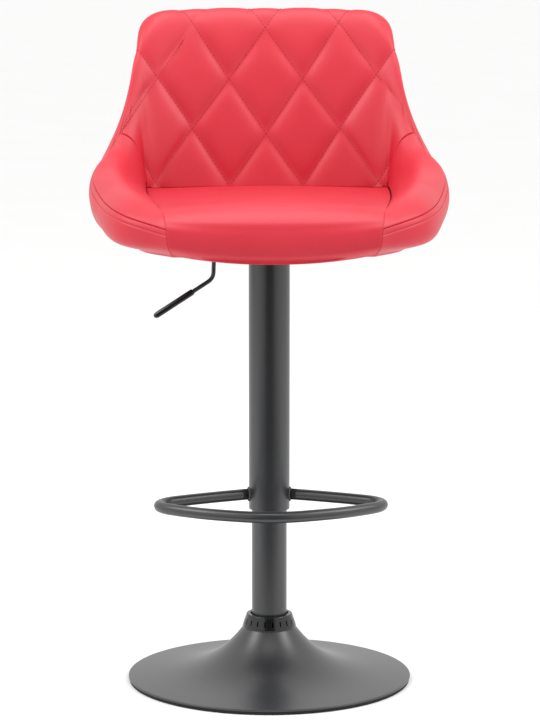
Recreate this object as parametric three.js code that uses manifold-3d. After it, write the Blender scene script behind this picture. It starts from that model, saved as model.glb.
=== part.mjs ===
// Adjustable swivel bar stool: trumpet foot, gas-lift column, welded footrest, quilted bucket seat.
// Millimetres, +Z up, origin on the column axis at floor level, seat front towards -Y.
// Everything above the thrust bearing turns together; the sleeve, footrest and seat also slide.
import * as THREE from 'three';
import { mergeVertices } from 'three/addons/utils/BufferGeometryUtils.js';
import Module from 'manifold-3d';

const wasm = await Module();
wasm.setup();

// ---------- driving dimensions ----------
const FIT = 0.3;                     // gap between pieces that touch
const SIDES_LARGE = 36;              // facets round the foot
const SIDES = 24;                    // facets round the column
const SIDES_SMALL = 14;              // facets round bars, pins and bolts

// foot
const BASE_RADIUS = 202.3;
const BASE_RIM_Z = 7.4;              // top of the rim above the floor
const BASE_NECK_Z = 75.7;            // where the collar stands on the shell
const RIM_FALL = 0.1;                // slope of the shell next to its rim
const RIM_LIP = 2.6;                 // depth of the rim's turned-down edge
const NECK_SLOPE = 1.5;              // fall of the shell under the collar, per unit of radius
const NECK_RISE = 6;                 // height of the shell hidden inside the collar
const SHELL_SHEET = 1.5;
const RING_INSET = 1.3;              // floor ring's outer edge inside the rim
const RING_WIDTH = 10;
const BALLAST_INSET = 54;            // plate's edge inside the rim
const BALLAST_THICKNESS = 5;
const BALLAST_Z = 4;
const HUB_FLANGE_WIDTH = 27;
const HUB_FLANGE_THICKNESS = 4;
const HUB_FILLET = 5;
const HUB_WALL = 6;
const HUB_TOP_LAP = 4;               // height of the hub above the collar's foot

// column
const STANDPIPE_RADIUS = 25;
const STANDPIPE_WALL = 1.5;
const STANDPIPE_BOTTOM = 20;
const STANDPIPE_TOP = 375;
const SLEEVE_CLEARANCE = 2.5;        // between standpipe and sleeve, filled by the sleeve's bush
const SLEEVE_WALL = 1.5;
const SLEEVE_BOTTOM = 249;           // at the shown height setting
const GUIDE_LENGTH = 60;
const GUIDE_CAP = 3;                 // guide bush's head on top of the standpipe
const SLEEVE_BUSH_LENGTH = 30;
const TOP_RING_HEIGHT = 10;
const COLLAR_HEIGHT = 20;
const COLLAR_CLEARANCE = 2;          // dark gap between collar and standpipe
const COLLAR_WIDTH = 5.5;            // flat top of the collar
const COLLAR_FLARE = 6;              // how much wider the collar is at its foot
const COLLAR_WALL = 2.5;
const COLLAR_SLOTS = 20;
const SLOT_WIDTH = 2;
const SLOT_HEIGHT = 7;

// gas spring
const TUBE_RADIUS = 14;
const TUBE_WALL = 2;
const TUBE_LENGTH = 406;
const TAPER_LENGTH = 50;
const TAPER_SHRINK = 0.9;            // loss of radius over the taper
const ROD_RADIUS = 5;
const ROD_TAIL_RADIUS = 4;
const ROD_TAIL_LENGTH = 5;           // below the spring clip
const GROOVE_DEPTH = 0.8;
const RISE_LEFT = 81;                // room above the piston before it meets the rod guide
const PISTON_LENGTH = 14;
const SEAL_GROOVE_DEPTH = 2.5;
const SEAL_GROOVE_WIDTH = 4;
const SEAL_PINCH = 0.2;              // gap left between seal and tube
const ROD_GUIDE_LENGTH = 22;
const VALVE_LENGTH = 26;
const VALVE_HOLE_DEPTH = 15;
const TUBE_LIP = 1;                  // rolled lip of the tube over the valve body
const BUTTON_RADIUS = 3;
const BUTTON_LENGTH = 14.8;
const BUTTON_PROUD = 5.8;            // how far the button stands out of the tube

// thrust bearing, from the end plate upwards
const PLATE_LIFT = 2;                // end plate above the standpipe's lower end
const END_PLATE_THICKNESS = 4;
const RACE_THICKNESS = 2;
const RACE_RADIUS = 17.7;
const BALL_RADIUS = 2.4;
const BALL_COUNT = 8;
const CAGE_THICKNESS = 2;
const ROD_WASHER_RADIUS = 13;
const CLIP_RADIUS = 8;
const CLIP_THICKNESS = 1;
const BUMPER_LENGTH = 18;
const BUMPER_DRAFT = 2;

// footrest
const FOOTREST_TUBE_RADIUS = 8;
const FOOTREST_LIFT = 21;            // centre line above the sleeve's lower end
const FOOTREST_HALF_WIDTH = 156;     // centre line
const FOOTREST_REACH = 166;          // centre line, forward of the column axis

// mechanism
const BOARD_Z = 636;                 // underside of the seat board
const BOARD_THICKNESS = 12;
const PAN_SHEET = 2.5;
const PAN_DEPTH = 28.7;
const PAN_HALF_X = 62;
const PAN_HALF_Y = 52;
const FLANGE_SIDE = 23.5;            // flange beyond the pan's side wall
const FLANGE_FRONT = 20.5;           // and beyond its front wall
const SOCKET_WALL = 5;
const SOCKET_LENGTH = 34;
const TUBE_PROUD = 1.5;              // top of the gas tube above the pan's floor
const BOLT_RADIUS = 3;
const BOLT_HEAD_RADIUS = 5.5;
const BOLT_HEAD_HEIGHT = 4;
const WASHER_RADIUS = 7;
const WASHER_THICKNESS = 1.5;
const NUT_BARREL_RADIUS = 4.2;
const NUT_FLANGE_RADIUS = 9;
const NUT_FLANGE = 1;
const LEVER_RADIUS = 3;
const LEVER_PIVOT_INSET = 17;        // pivot inside the pan's side
const LEVER_EYE_RADIUS = 5.5;
const LEVER_EYE_WIDTH = 8;
const LEVER_TONGUE = 3.3;
const LEVER_PLAY = 0.4;              // tongue above the valve button
const LEVER_PIN_RADIUS = 2;
const LEVER_REACH = 13;              // from the pan's wall to the lever's downward bend
const LEVER_DROP = 42;               // height of the downward run
const LEVER_OUT = 34;                // bare rod between the lower bend and the grip
const BRACKET_SHEET = 2;
const BRACKET_MARGIN = 3;            // metal round the pin
const GRIP_RADIUS = 4.5;
const GRIP_LENGTH = 66;
const GRIP_TIP = 7;                  // solid end of the grip
const GRIP_SLOPE = 33 * Math.PI / 180;

// seat
const SEAT_WIDTH = 508;
const SEAT_DEPTH = 470;
const SEAT_THICKNESS = 76;           // board underside to the top of the seat edge
const BACK_HEIGHT = 233;             // seat edge to the top of the back
const SHELL_THICKNESS = 7;
const BOARD_INSET = 6;               // board's edge inside the covers' hem
const DUST_COVER = 2;
const DUST_COVER_INSET = 9;

// worked out from the above
const panTop = BOARD_Z - FIT;
const panBottom = panTop - PAN_DEPTH;
const panFloor = panBottom + PAN_SHEET;
const panWallX = PAN_HALF_X + PAN_SHEET;
const panWallY = PAN_HALF_Y + PAN_SHEET;
const flangeHalfX = panWallX + FLANGE_SIDE;
const flangeHalfY = panWallY + FLANGE_FRONT;
const boltX = panWallX + FLANGE_SIDE / 2;
const boltY = panWallY + FLANGE_FRONT / 2;
const boardTop = BOARD_Z + BOARD_THICKNESS;
const tubeTop = panFloor + TUBE_PROUD;
const tubeBottom = tubeTop - TUBE_LENGTH;
const tubeBore = TUBE_RADIUS - TUBE_WALL;
const taperTop = TUBE_RADIUS - TAPER_SHRINK;
const socketRadius = TUBE_RADIUS + SOCKET_WALL;
const standpipeBore = STANDPIPE_RADIUS - STANDPIPE_WALL;
const sleeveBore = STANDPIPE_RADIUS + SLEEVE_CLEARANCE;
const sleeveRadius = sleeveBore + SLEEVE_WALL;
const collarTopRadius = STANDPIPE_RADIUS + COLLAR_CLEARANCE + COLLAR_WIDTH;
const neckRadius = collarTopRadius + COLLAR_FLARE;
const footrestZ = SLEEVE_BOTTOM + FOOTREST_LIFT;
const buttonTop = tubeTop + BUTTON_PROUD;
const leverZ = buttonTop + LEVER_PLAY + LEVER_TONGUE + TUBE_PROUD;
const leverPivotX = -(PAN_HALF_X - LEVER_PIVOT_INSET);
const leverBendX = -(panWallX + LEVER_REACH);
const endPlateZ = STANDPIPE_BOTTOM + PLATE_LIFT;
const lowerRaceZ = endPlateZ + END_PLATE_THICKNESS + FIT;
const upperRaceZ = lowerRaceZ + RACE_THICKNESS + 2 * (BALL_RADIUS + FIT);
const ballZ = (lowerRaceZ + RACE_THICKNESS + upperRaceZ) / 2;
const rodShoulderZ = upperRaceZ + RACE_THICKNESS + FIT;
const rodTop = tubeBottom + ROD_GUIDE_LENGTH + RISE_LEFT + PISTON_LENGTH;

// ---------- materials ----------
const finish = (color, roughness, metalness) =>
  new THREE.MeshStandardMaterial({ color, roughness, metalness });
const charcoal = () => finish(0x474748, 0.45, 0.3);
const blackPlastic = () => finish(0x17181a, 0.3, 0);
const blackRubber = () => finish(0x131313, 0.85, 0);
const redLeather = () => finish(0xe2323f, 0.45, 0);
const brightSteel = () => finish(0xb9bcc0, 0.3, 1);
const zinc = () => finish(0x9a9da1, 0.4, 0.9);
const plywood = () => finish(0xb48a5a, 0.75, 0);
const nylon = () => finish(0xdad7cd, 0.5, 0);

const stool = new THREE.Group();

function place(name, geometry, material) {
  const mesh = new THREE.Mesh(geometry, material);
  mesh.name = name;
  stool.add(mesh);
  return mesh;
}

// ---------- geometry helpers ----------
function signedVolume(geometry) {
  const position = geometry.attributes.position;
  const index = geometry.index;
  const count = index ? index.count : position.count;
  const a = new THREE.Vector3();
  const b = new THREE.Vector3();
  const c = new THREE.Vector3();
  let volume = 0;
  for (let i = 0; i < count; i += 3) {
    const at = (k) => (index ? index.getX(i + k) : i + k);
    a.fromBufferAttribute(position, at(0));
    b.fromBufferAttribute(position, at(1));
    c.fromBufferAttribute(position, at(2));
    volume += a.dot(b.cross(c)) / 6;
  }
  return volume;
}

// Merge shared corners and turn the faces outwards.
function closed(geometry) {
  geometry.deleteAttribute('normal');
  geometry.deleteAttribute('uv');
  const merged = mergeVertices(geometry, 1e-4);
  if (signedVolume(merged) < 0) {
    const index = merged.index.array;
    for (let i = 0; i < index.length; i += 3) {
      [index[i], index[i + 1]] = [index[i + 1], index[i]];
    }
  }
  return merged;
}

// A turned piece: the outline is a list of [radius, z] and closes on itself.
function turned(outline, segments = SIDES) {
  const points = outline.map(([r, z]) => new THREE.Vector2(r, z));
  points.push(points[0].clone());
  return closed(new THREE.LatheGeometry(points, segments).rotateX(Math.PI / 2));
}

// A plain ring between two radii and two heights; inner radius 0 gives a disc.
function ring(inner, outer, low, high, segments = SIDES) {
  if (inner > 0) {
    return turned([[inner, low], [outer, low], [outer, high], [inner, high]], segments);
  }
  const points = [[0, low], [outer, low], [outer, high], [0, high]].map(([r, z]) => new THREE.Vector2(r, z));
  return closed(new THREE.LatheGeometry(points, segments).rotateX(Math.PI / 2));
}

function box(x0, x1, y0, y1, z0, z1) {
  const geometry = new THREE.BoxGeometry(x1 - x0, y1 - y0, z1 - z0);
  return closed(geometry.translate((x0 + x1) / 2, (y0 + y1) / 2, (z0 + z1) / 2));
}

function circle(radius, sides) {
  const shape = new THREE.Shape();
  for (let i = 0; i < sides; i += 1) {
    const angle = 2 * Math.PI * i / sides;
    const x = radius * Math.cos(angle);
    const y = radius * Math.sin(angle);
    if (i === 0) {
      shape.moveTo(x, y);
    } else {
      shape.lineTo(x, y);
    }
  }
  return shape;
}

// A round bar or tube outline swept along a curve, both ends closed.
function swept(curve, radius, steps, sides) {
  const options = { steps, bevelEnabled: false, extrudePath: curve };
  return closed(new THREE.ExtrudeGeometry(circle(radius, sides), options));
}

// A closed solid between two grids of points of the same size.
function between(outer, inner) {
  const rows = outer.length;
  const columns = outer[0].length;
  const vertices = [...outer.flat(), ...inner.flat()].flatMap((p) => [p.x, p.y, p.z]);
  const at = (side, i, j) => side * rows * columns + i * columns + j;
  const triangles = [];
  const quad = (a, b, c, d) => triangles.push(a, b, c, a, c, d);
  for (let i = 0; i < rows - 1; i += 1) {
    for (let j = 0; j < columns - 1; j += 1) {
      quad(at(0, i, j), at(0, i + 1, j), at(0, i + 1, j + 1), at(0, i, j + 1));
      quad(at(1, i, j), at(1, i, j + 1), at(1, i + 1, j + 1), at(1, i + 1, j));
    }
  }
  for (let i = 0; i < rows - 1; i += 1) {
    quad(at(0, i, 0), at(1, i, 0), at(1, i + 1, 0), at(0, i + 1, 0));
    quad(at(0, i, columns - 1), at(0, i + 1, columns - 1), at(1, i + 1, columns - 1), at(1, i, columns - 1));
  }
  for (let j = 0; j < columns - 1; j += 1) {
    quad(at(0, 0, j), at(0, 0, j + 1), at(1, 0, j + 1), at(1, 0, j));
    quad(at(0, rows - 1, j), at(1, rows - 1, j), at(1, rows - 1, j + 1), at(0, rows - 1, j + 1));
  }
  const geometry = new THREE.BufferGeometry();
  geometry.setAttribute('position', new THREE.Float32BufferAttribute(vertices, 3));
  geometry.setIndex(triangles);
  return closed(geometry);
}

// A sheet of even thickness, centred on one grid of points.
function sheet(grid, thickness) {
  const shifted = (side) => grid.map((row, i) => row.map((p, j) => {
    const along = grid[Math.min(i + 1, grid.length - 1)][j].clone().sub(grid[Math.max(i - 1, 0)][j]);
    const across = row[Math.min(j + 1, row.length - 1)].clone().sub(row[Math.max(j - 1, 0)]);
    return p.clone().addScaledVector(along.cross(across).normalize(), side * thickness / 2);
  }));
  return between(shifted(1), shifted(-1));
}

// ---------- cutting and joining ----------
function solid(geometry) {
  return new wasm.Manifold(new wasm.Mesh({
    numProp: 3,
    vertProperties: Float32Array.from(geometry.attributes.position.array),
    triVerts: Uint32Array.from(geometry.index.array),
  }));
}

function geometryOf(manifold) {
  const mesh = manifold.getMesh();
  const geometry = new THREE.BufferGeometry();
  geometry.setAttribute('position', new THREE.Float32BufferAttribute(mesh.vertProperties, 3));
  geometry.setIndex(Array.from(mesh.triVerts));
  return geometry;
}

function cut(body, ...tools) {
  return geometryOf(tools.reduce((left, tool) => left.subtract(solid(tool)), solid(body)));
}

function join(...pieces) {
  return geometryOf(pieces.slice(1).reduce((whole, piece) => whole.add(solid(piece)), solid(pieces[0])));
}

// ---------- foot ----------
// Height of the shell's outer face at a radius: a straight fall to the rim plus a fourth-power rise.
function shellHeight(radius) {
  const span = BASE_RADIUS - neckRadius;
  const rise = BASE_NECK_Z - BASE_RIM_Z - RIM_FALL * span;
  const share = (BASE_RADIUS - radius) / span;
  return BASE_RIM_Z + RIM_FALL * (BASE_RADIUS - radius) + rise * share ** 4;
}

function baseShell() {
  const count = 7;
  const outside = [];
  const inside = [];
  for (let i = 0; i <= count; i += 1) {
    const share = (i / count) ** 1.6;
    const radius = neckRadius + share * (BASE_RADIUS - neckRadius);
    const fall = shellHeight(radius - 0.5) - shellHeight(radius + 0.5);
    const length = Math.hypot(1, fall);
    const z = shellHeight(radius);
    outside.push([radius, z]);
    inside.push([radius - SHELL_SHEET * fall / length, z - SHELL_SHEET / length]);
  }
  inside[count] = [BASE_RADIUS - SHELL_SHEET, BASE_RIM_Z - SHELL_SHEET];
  const lip = [[BASE_RADIUS, BASE_RIM_Z - RIM_LIP], [BASE_RADIUS - SHELL_SHEET, BASE_RIM_Z - RIM_LIP]];
  const top = BASE_NECK_Z + NECK_RISE;
  const topRadius = neckRadius - NECK_RISE / NECK_SLOPE;
  const neck = [[topRadius - SHELL_SHEET, top], [topRadius, top]];
  return turned([...outside, ...lip, ...inside.reverse(), ...neck], SIDES_LARGE);
}

function addFoot() {
  place('base_shell', baseShell(), charcoal());
  const ringRadius = BASE_RADIUS - RING_INSET;
  const ringTop = BASE_RIM_Z - SHELL_SHEET - FIT;
  const ledge = BASE_RIM_Z - RIM_LIP - FIT;
  const lipInner = BASE_RADIUS - SHELL_SHEET - FIT;
  place('floor_ring', turned([
    [ringRadius - RING_WIDTH, 0],
    [ringRadius, 0],
    [ringRadius, ledge],
    [lipInner, ledge],
    [lipInner, ringTop],
    [ringRadius - RING_WIDTH, ringTop],
  ], SIDES_LARGE), blackRubber());
  const ballastTop = BALLAST_Z + BALLAST_THICKNESS;
  const hubBore = standpipeBore - 1;
  place('ballast_plate', ring(hubBore, BASE_RADIUS - BALLAST_INSET, BALLAST_Z, ballastTop), zinc());
  const bore = STANDPIPE_RADIUS + FIT;
  const outer = bore + HUB_WALL;
  const hubBottom = ballastTop + FIT;
  const flangeTop = hubBottom + HUB_FLANGE_THICKNESS;
  place('base_hub', turned([
    [hubBore, hubBottom],
    [outer + HUB_FLANGE_WIDTH, hubBottom],
    [outer + HUB_FLANGE_WIDTH, flangeTop],
    [outer, flangeTop + HUB_FILLET],
    [outer, BASE_NECK_Z + HUB_TOP_LAP],
    [bore, BASE_NECK_Z + HUB_TOP_LAP],
    [bore, STANDPIPE_BOTTOM - FIT],
    [hubBore, STANDPIPE_BOTTOM - FIT],
  ]), zinc());
}

// Moulded trim ring with a row of narrow upright slots round its middle.
function addCollar() {
  const low = BASE_NECK_Z + 2 * FIT;
  const high = low + COLLAR_HEIGHT;
  const body = turned([
    [neckRadius - COLLAR_WALL, low + COLLAR_WALL * NECK_SLOPE],
    [neckRadius, low],
    [neckRadius, low + 2],
    [collarTopRadius + 1, high - 1],
    [collarTopRadius, high],
    [STANDPIPE_RADIUS + COLLAR_CLEARANCE, high],
    [STANDPIPE_RADIUS + COLLAR_CLEARANCE, high - COLLAR_WALL],
    [collarTopRadius - COLLAR_WALL, high - COLLAR_WALL],
  ]);
  const z0 = low + (COLLAR_HEIGHT - SLOT_HEIGHT) / 2;
  const slots = [];
  for (let i = 0; i < COLLAR_SLOTS; i += 1) {
    const slot = box(collarTopRadius - 6, neckRadius + 4, -SLOT_WIDTH / 2, SLOT_WIDTH / 2, z0, z0 + SLOT_HEIGHT);
    slots.push(slot.rotateZ(2 * Math.PI * i / COLLAR_SLOTS));
  }
  place('collar', cut(body, ...slots), blackPlastic());
}

// ---------- column ----------
function addColumn() {
  place('standpipe', ring(standpipeBore, STANDPIPE_RADIUS, STANDPIPE_BOTTOM, STANDPIPE_TOP), charcoal());
  const plateTop = endPlateZ + END_PLATE_THICKNESS;
  place('end_plate', ring(ROD_TAIL_RADIUS + FIT, standpipeBore - FIT, endPlateZ, plateTop), zinc());
  place('guide_bush', turned([
    [TUBE_RADIUS + FIT, STANDPIPE_TOP - GUIDE_LENGTH],
    [standpipeBore - FIT, STANDPIPE_TOP - GUIDE_LENGTH],
    [standpipeBore - FIT, STANDPIPE_TOP + FIT],
    [STANDPIPE_RADIUS, STANDPIPE_TOP + FIT],
    [STANDPIPE_RADIUS, STANDPIPE_TOP + GUIDE_CAP],
    [TUBE_RADIUS + FIT, STANDPIPE_TOP + GUIDE_CAP],
  ]), nylon());
  const sleeveTop = panBottom - FIT;
  place('sleeve', ring(sleeveBore, sleeveRadius, SLEEVE_BOTTOM, sleeveTop), charcoal());
  const bushLow = SLEEVE_BOTTOM + 1;
  const bush = ring(STANDPIPE_RADIUS + FIT, sleeveBore - FIT, bushLow, bushLow + SLEEVE_BUSH_LENGTH);
  place('sleeve_bush', bush, blackPlastic());
  const topRing = ring(socketRadius + FIT, sleeveBore - FIT, sleeveTop - TOP_RING_HEIGHT, sleeveTop);
  place('sleeve_top_ring', topRing, zinc());
}

// ---------- thrust bearing and gas spring ----------
function bearingCage() {
  const inner = ROD_TAIL_RADIUS + 2;
  const cage = ring(inner, RACE_RADIUS, ballZ - CAGE_THICKNESS / 2, ballZ + CAGE_THICKNESS / 2, SIDES_SMALL);
  const pitch = (inner + RACE_RADIUS) / 2;
  const balls = [];
  for (let i = 0; i < BALL_COUNT; i += 1) {
    const angle = 2 * Math.PI * i / BALL_COUNT;
    const ball = closed(new THREE.SphereGeometry(BALL_RADIUS, 7, 4));
    balls.push(ball.translate(pitch * Math.cos(angle), pitch * Math.sin(angle), ballZ));
  }
  return join(cage, ...balls);
}

// Spring clip: three quarters of a ring that snaps into the groove near the rod's end.
function retainingClip(inner, outer, low, high) {
  const shape = new THREE.Shape();
  const gap = Math.PI / 4;
  shape.absarc(0, 0, outer, gap, 2 * Math.PI - gap, false);
  shape.absarc(0, 0, inner, 2 * Math.PI - gap, gap, true);
  const options = { depth: high - low, bevelEnabled: false, curveSegments: 12 };
  return closed(new THREE.ExtrudeGeometry(shape, options).translate(0, 0, low));
}

// The rod hangs the spring from the end plate: clip and washer below, thrust bearing above.
function addRod() {
  const washerTop = endPlateZ - FIT;
  const washerLow = washerTop - WASHER_THICKNESS;
  const clipTop = washerLow - FIT;
  const clipLow = clipTop - CLIP_THICKNESS;
  const groove = ROD_TAIL_RADIUS - GROOVE_DEPTH;
  const neckZ = rodTop - PISTON_LENGTH;
  place('piston_rod', turned([
    [0, clipLow - ROD_TAIL_LENGTH],
    [ROD_TAIL_RADIUS, clipLow - ROD_TAIL_LENGTH],
    [ROD_TAIL_RADIUS, clipLow - FIT],
    [groove, clipLow - FIT],
    [groove, clipTop + FIT],
    [ROD_TAIL_RADIUS, clipTop + FIT],
    [ROD_TAIL_RADIUS, rodShoulderZ],
    [ROD_RADIUS, rodShoulderZ],
    [ROD_RADIUS, neckZ],
    [ROD_TAIL_RADIUS, neckZ],
    [ROD_TAIL_RADIUS, rodTop],
    [0, rodTop],
  ], SIDES_SMALL), brightSteel());
  const tailBore = ROD_TAIL_RADIUS + FIT;
  place('retaining_clip', retainingClip(groove + FIT, CLIP_RADIUS, clipLow, clipTop), zinc());
  place('rod_washer', ring(tailBore, ROD_WASHER_RADIUS, washerLow, washerTop, SIDES_SMALL), zinc());
  place('lower_race', ring(tailBore, RACE_RADIUS, lowerRaceZ, lowerRaceZ + RACE_THICKNESS), brightSteel());
  place('bearing_cage', bearingCage(), brightSteel());
  place('upper_race', ring(tailBore, RACE_RADIUS, upperRaceZ, upperRaceZ + RACE_THICKNESS), brightSteel());
  const bumperLow = rodShoulderZ + FIT;
  const bumperRadius = TUBE_RADIUS - 1;
  place('bumper', turned([
    [ROD_RADIUS + FIT, bumperLow],
    [bumperRadius, bumperLow],
    [bumperRadius - BUMPER_DRAFT, bumperLow + BUMPER_LENGTH],
    [ROD_RADIUS + FIT, bumperLow + BUMPER_LENGTH],
  ], SIDES_SMALL), blackRubber());
}

function addPiston() {
  const low = rodTop - PISTON_LENGTH + FIT;
  const grooveLow = (low + rodTop - FIT - SEAL_GROOVE_WIDTH) / 2;
  const grooveHigh = grooveLow + SEAL_GROOVE_WIDTH;
  const groove = tubeBore - SEAL_GROOVE_DEPTH;
  place('piston', turned([
    [ROD_TAIL_RADIUS + FIT, low],
    [tubeBore - FIT, low],
    [tubeBore - FIT, grooveLow],
    [groove, grooveLow],
    [groove, grooveHigh],
    [tubeBore - FIT, grooveHigh],
    [tubeBore - FIT, rodTop - FIT],
    [ROD_TAIL_RADIUS + FIT, rodTop - FIT],
  ], SIDES_SMALL), zinc());
  const seal = ring(groove + FIT, tubeBore - SEAL_PINCH, grooveLow + FIT, grooveHigh - FIT, SIDES_SMALL);
  place('piston_seal', seal, blackRubber());
}

// Tube with a tapered top that wedges in the pan's socket, a rod guide below and the valve above.
function addTube() {
  const lipLow = tubeTop - 2 * TUBE_LIP;
  place('pressure_tube', turned([
    [tubeBore, tubeBottom],
    [TUBE_RADIUS, tubeBottom],
    [TUBE_RADIUS, tubeTop - TAPER_LENGTH],
    [taperTop, tubeTop],
    [taperTop - TUBE_WALL, tubeTop],
    [taperTop - TUBE_WALL, lipLow],
    [tubeBore, lipLow - VALVE_LENGTH],
  ]), blackPlastic());
  const guideTop = tubeBottom + ROD_GUIDE_LENGTH;
  place('rod_guide', ring(ROD_RADIUS + FIT, tubeBore - FIT, tubeBottom + 1, guideTop, SIDES_SMALL), zinc());
  const valveTop = tubeTop - TUBE_LIP;
  const body = ring(0, taperTop - TUBE_WALL - FIT, valveTop - VALVE_LENGTH, valveTop, SIDES_SMALL);
  const hole = ring(0, BUTTON_RADIUS + FIT, valveTop - VALVE_HOLE_DEPTH, tubeTop, SIDES_SMALL);
  place('valve_body', cut(body, hole), zinc());
  place('valve_button', ring(0, BUTTON_RADIUS, buttonTop - BUTTON_LENGTH, buttonTop, SIDES_SMALL), brightSteel());
}

// ---------- footrest ----------
// Half of the loop, as shares of its half width and of its reach, from the weld to the front.
const FOOTREST_LINE = [[0.16, 0], [0.48, 0.13], [0.77, 0.265], [0.935, 0.365], [1, 0.48], [0.96, 0.585],
  [0.795, 0.717], [0.478, 0.88], [0, 1]];

function addFootrest() {
  const right = FOOTREST_LINE.map(([x, y]) => [x * FOOTREST_HALF_WIDTH, -y * FOOTREST_REACH]);
  const left = right.slice(0, -1).reverse().map(([x, y]) => [-x, y]);
  const points = [...right, ...left].map(([x, y]) => new THREE.Vector3(x, y, footrestZ));
  const tube = swept(new THREE.CatmullRomCurve3(points, false, 'centripetal'), FOOTREST_TUBE_RADIUS, 40, 8);
  const above = 3 * FOOTREST_TUBE_RADIUS;
  const cope = ring(0, sleeveRadius + FIT, footrestZ - above, footrestZ + above);
  place('footrest', cut(tube, cope), charcoal());
}

// ---------- mechanism ----------
function boltPlaces() {
  return [[-1, -1], [1, -1], [1, 1], [-1, 1]].map(([sx, sy]) => [sx * boltX, sy * boltY]);
}

function addMechanism() {
  const flange = box(-flangeHalfX, flangeHalfX, -flangeHalfY, flangeHalfY, panTop - PAN_SHEET, panTop);
  const tray = box(-panWallX, panWallX, -panWallY, panWallY, panBottom, panTop - 0.5);
  const hollow = box(-PAN_HALF_X, PAN_HALF_X, -PAN_HALF_Y, PAN_HALF_Y, panFloor, panTop + 5);
  const socketHole = ring(0, socketRadius + FIT, panBottom - 5, panFloor + 5);
  const side = LEVER_RADIUS + 2;
  const slot = box(-panWallX - 5, -PAN_HALF_X + 5, -side, side, leverZ - side - 1, leverZ + side + 2);
  const boltHoles = boltPlaces().map(([x, y]) =>
    ring(0, BOLT_RADIUS + FIT, panTop - 10, panTop + 5, SIDES_SMALL).translate(x, y, 0));
  place('mount_pan', cut(join(flange, tray), hollow, socketHole, slot, ...boltHoles), charcoal());

  const socketTop = panFloor + 0.5;
  const socketLow = socketTop - SOCKET_LENGTH;
  const boreAt = (z) => TUBE_RADIUS - TAPER_SHRINK * (1 - (tubeTop - z) / TAPER_LENGTH) + FIT;
  place('taper_socket', turned([
    [boreAt(socketLow), socketLow],
    [socketRadius - 1, socketLow],
    [socketRadius, socketLow + 1],
    [socketRadius, socketTop],
    [boreAt(socketTop), socketTop],
  ]), charcoal());

  boltPlaces().forEach(([x, y], i) => addBolt(i + 1, x, y));
  addLeverRod();
  addGrip();
  addBracket();
}

// Hexagon bolt from below through washer and flange into a flanged tee nut in the board.
function addBolt(number, x, y) {
  const washerTop = panTop - PAN_SHEET - FIT;
  const washerLow = washerTop - WASHER_THICKNESS;
  const headTop = washerLow - FIT;
  const head = ring(0, BOLT_HEAD_RADIUS, headTop - BOLT_HEAD_HEIGHT, headTop, 6);
  const shank = ring(0, BOLT_RADIUS, headTop - 1, boardTop - 1, SIDES_SMALL);
  place(`seat_bolt_${number}`, join(head, shank).translate(x, y, 0), zinc());
  const washer = ring(BOLT_RADIUS + FIT, WASHER_RADIUS, washerLow, washerTop, SIDES_SMALL);
  place(`bolt_washer_${number}`, washer.translate(x, y, 0), zinc());
  place(`tee_nut_${number}`, turned([
    [BOLT_RADIUS + FIT, BOARD_Z + 3],
    [NUT_BARREL_RADIUS, BOARD_Z + 3],
    [NUT_BARREL_RADIUS, boardTop + FIT],
    [NUT_FLANGE_RADIUS, boardTop + FIT],
    [NUT_FLANGE_RADIUS, boardTop + FIT + NUT_FLANGE],
    [BOLT_RADIUS + FIT, boardTop + FIT + NUT_FLANGE],
  ], SIDES_SMALL).translate(x, y, 0), zinc());
}

// A disc or ring about the lever's pivot line, which runs along Y.
function onPivot(inner, outer, halfWidth) {
  const geometry = ring(inner, outer, -halfWidth, halfWidth, SIDES_SMALL);
  return geometry.rotateX(Math.PI / 2).translate(leverPivotX, 0, leverZ);
}

const gripAxis = new THREE.Vector3(-Math.cos(GRIP_SLOPE), 0, -Math.sin(GRIP_SLOPE));
const lowerBend = new THREE.Vector3(leverBendX - LEVER_RADIUS / 2, 0, leverZ - LEVER_DROP);
const gripStart = lowerBend.clone().addScaledVector(gripAxis, LEVER_OUT);

// One bent rod: eye and tongue inside the pan, out through the slot, down, and out to the grip.
function addLeverRod() {
  const half = LEVER_EYE_WIDTH / 2;
  const tongueLow = buttonTop + LEVER_PLAY;
  const tongue = box(leverPivotX, BUTTON_RADIUS + 3, -half, half, tongueLow, tongueLow + LEVER_TONGUE);
  const bend = 3 * LEVER_RADIUS;
  const start = new THREE.Vector3(leverPivotX - LEVER_RADIUS, 0, leverZ);
  const shoulder = new THREE.Vector3(leverBendX + bend + 2, 0, leverZ);
  const elbow = new THREE.Vector3(leverBendX, 0, leverZ);
  const drop = new THREE.Vector3(leverBendX, 0, leverZ - bend - 3);
  const knee = lowerBend.clone().setZ(lowerBend.z + bend);
  const out = lowerBend.clone().addScaledVector(gripAxis, bend);
  const rodEnd = gripStart.clone().addScaledVector(gripAxis, GRIP_LENGTH - GRIP_TIP - 1);
  const path = new THREE.CurvePath();
  path.add(new THREE.LineCurve3(start, shoulder));
  path.add(new THREE.QuadraticBezierCurve3(shoulder, elbow, drop));
  path.add(new THREE.LineCurve3(drop, knee));
  path.add(new THREE.QuadraticBezierCurve3(knee, lowerBend, out));
  path.add(new THREE.LineCurve3(out, rodEnd));
  const rod = swept(path, LEVER_RADIUS, 30, 8);
  const eye = onPivot(0, LEVER_EYE_RADIUS, half);
  const pinHole = onPivot(0, LEVER_PIN_RADIUS + FIT, LEVER_EYE_WIDTH);
  place('lever_rod', cut(join(rod, eye, tongue), pinHole), charcoal());
}

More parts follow.
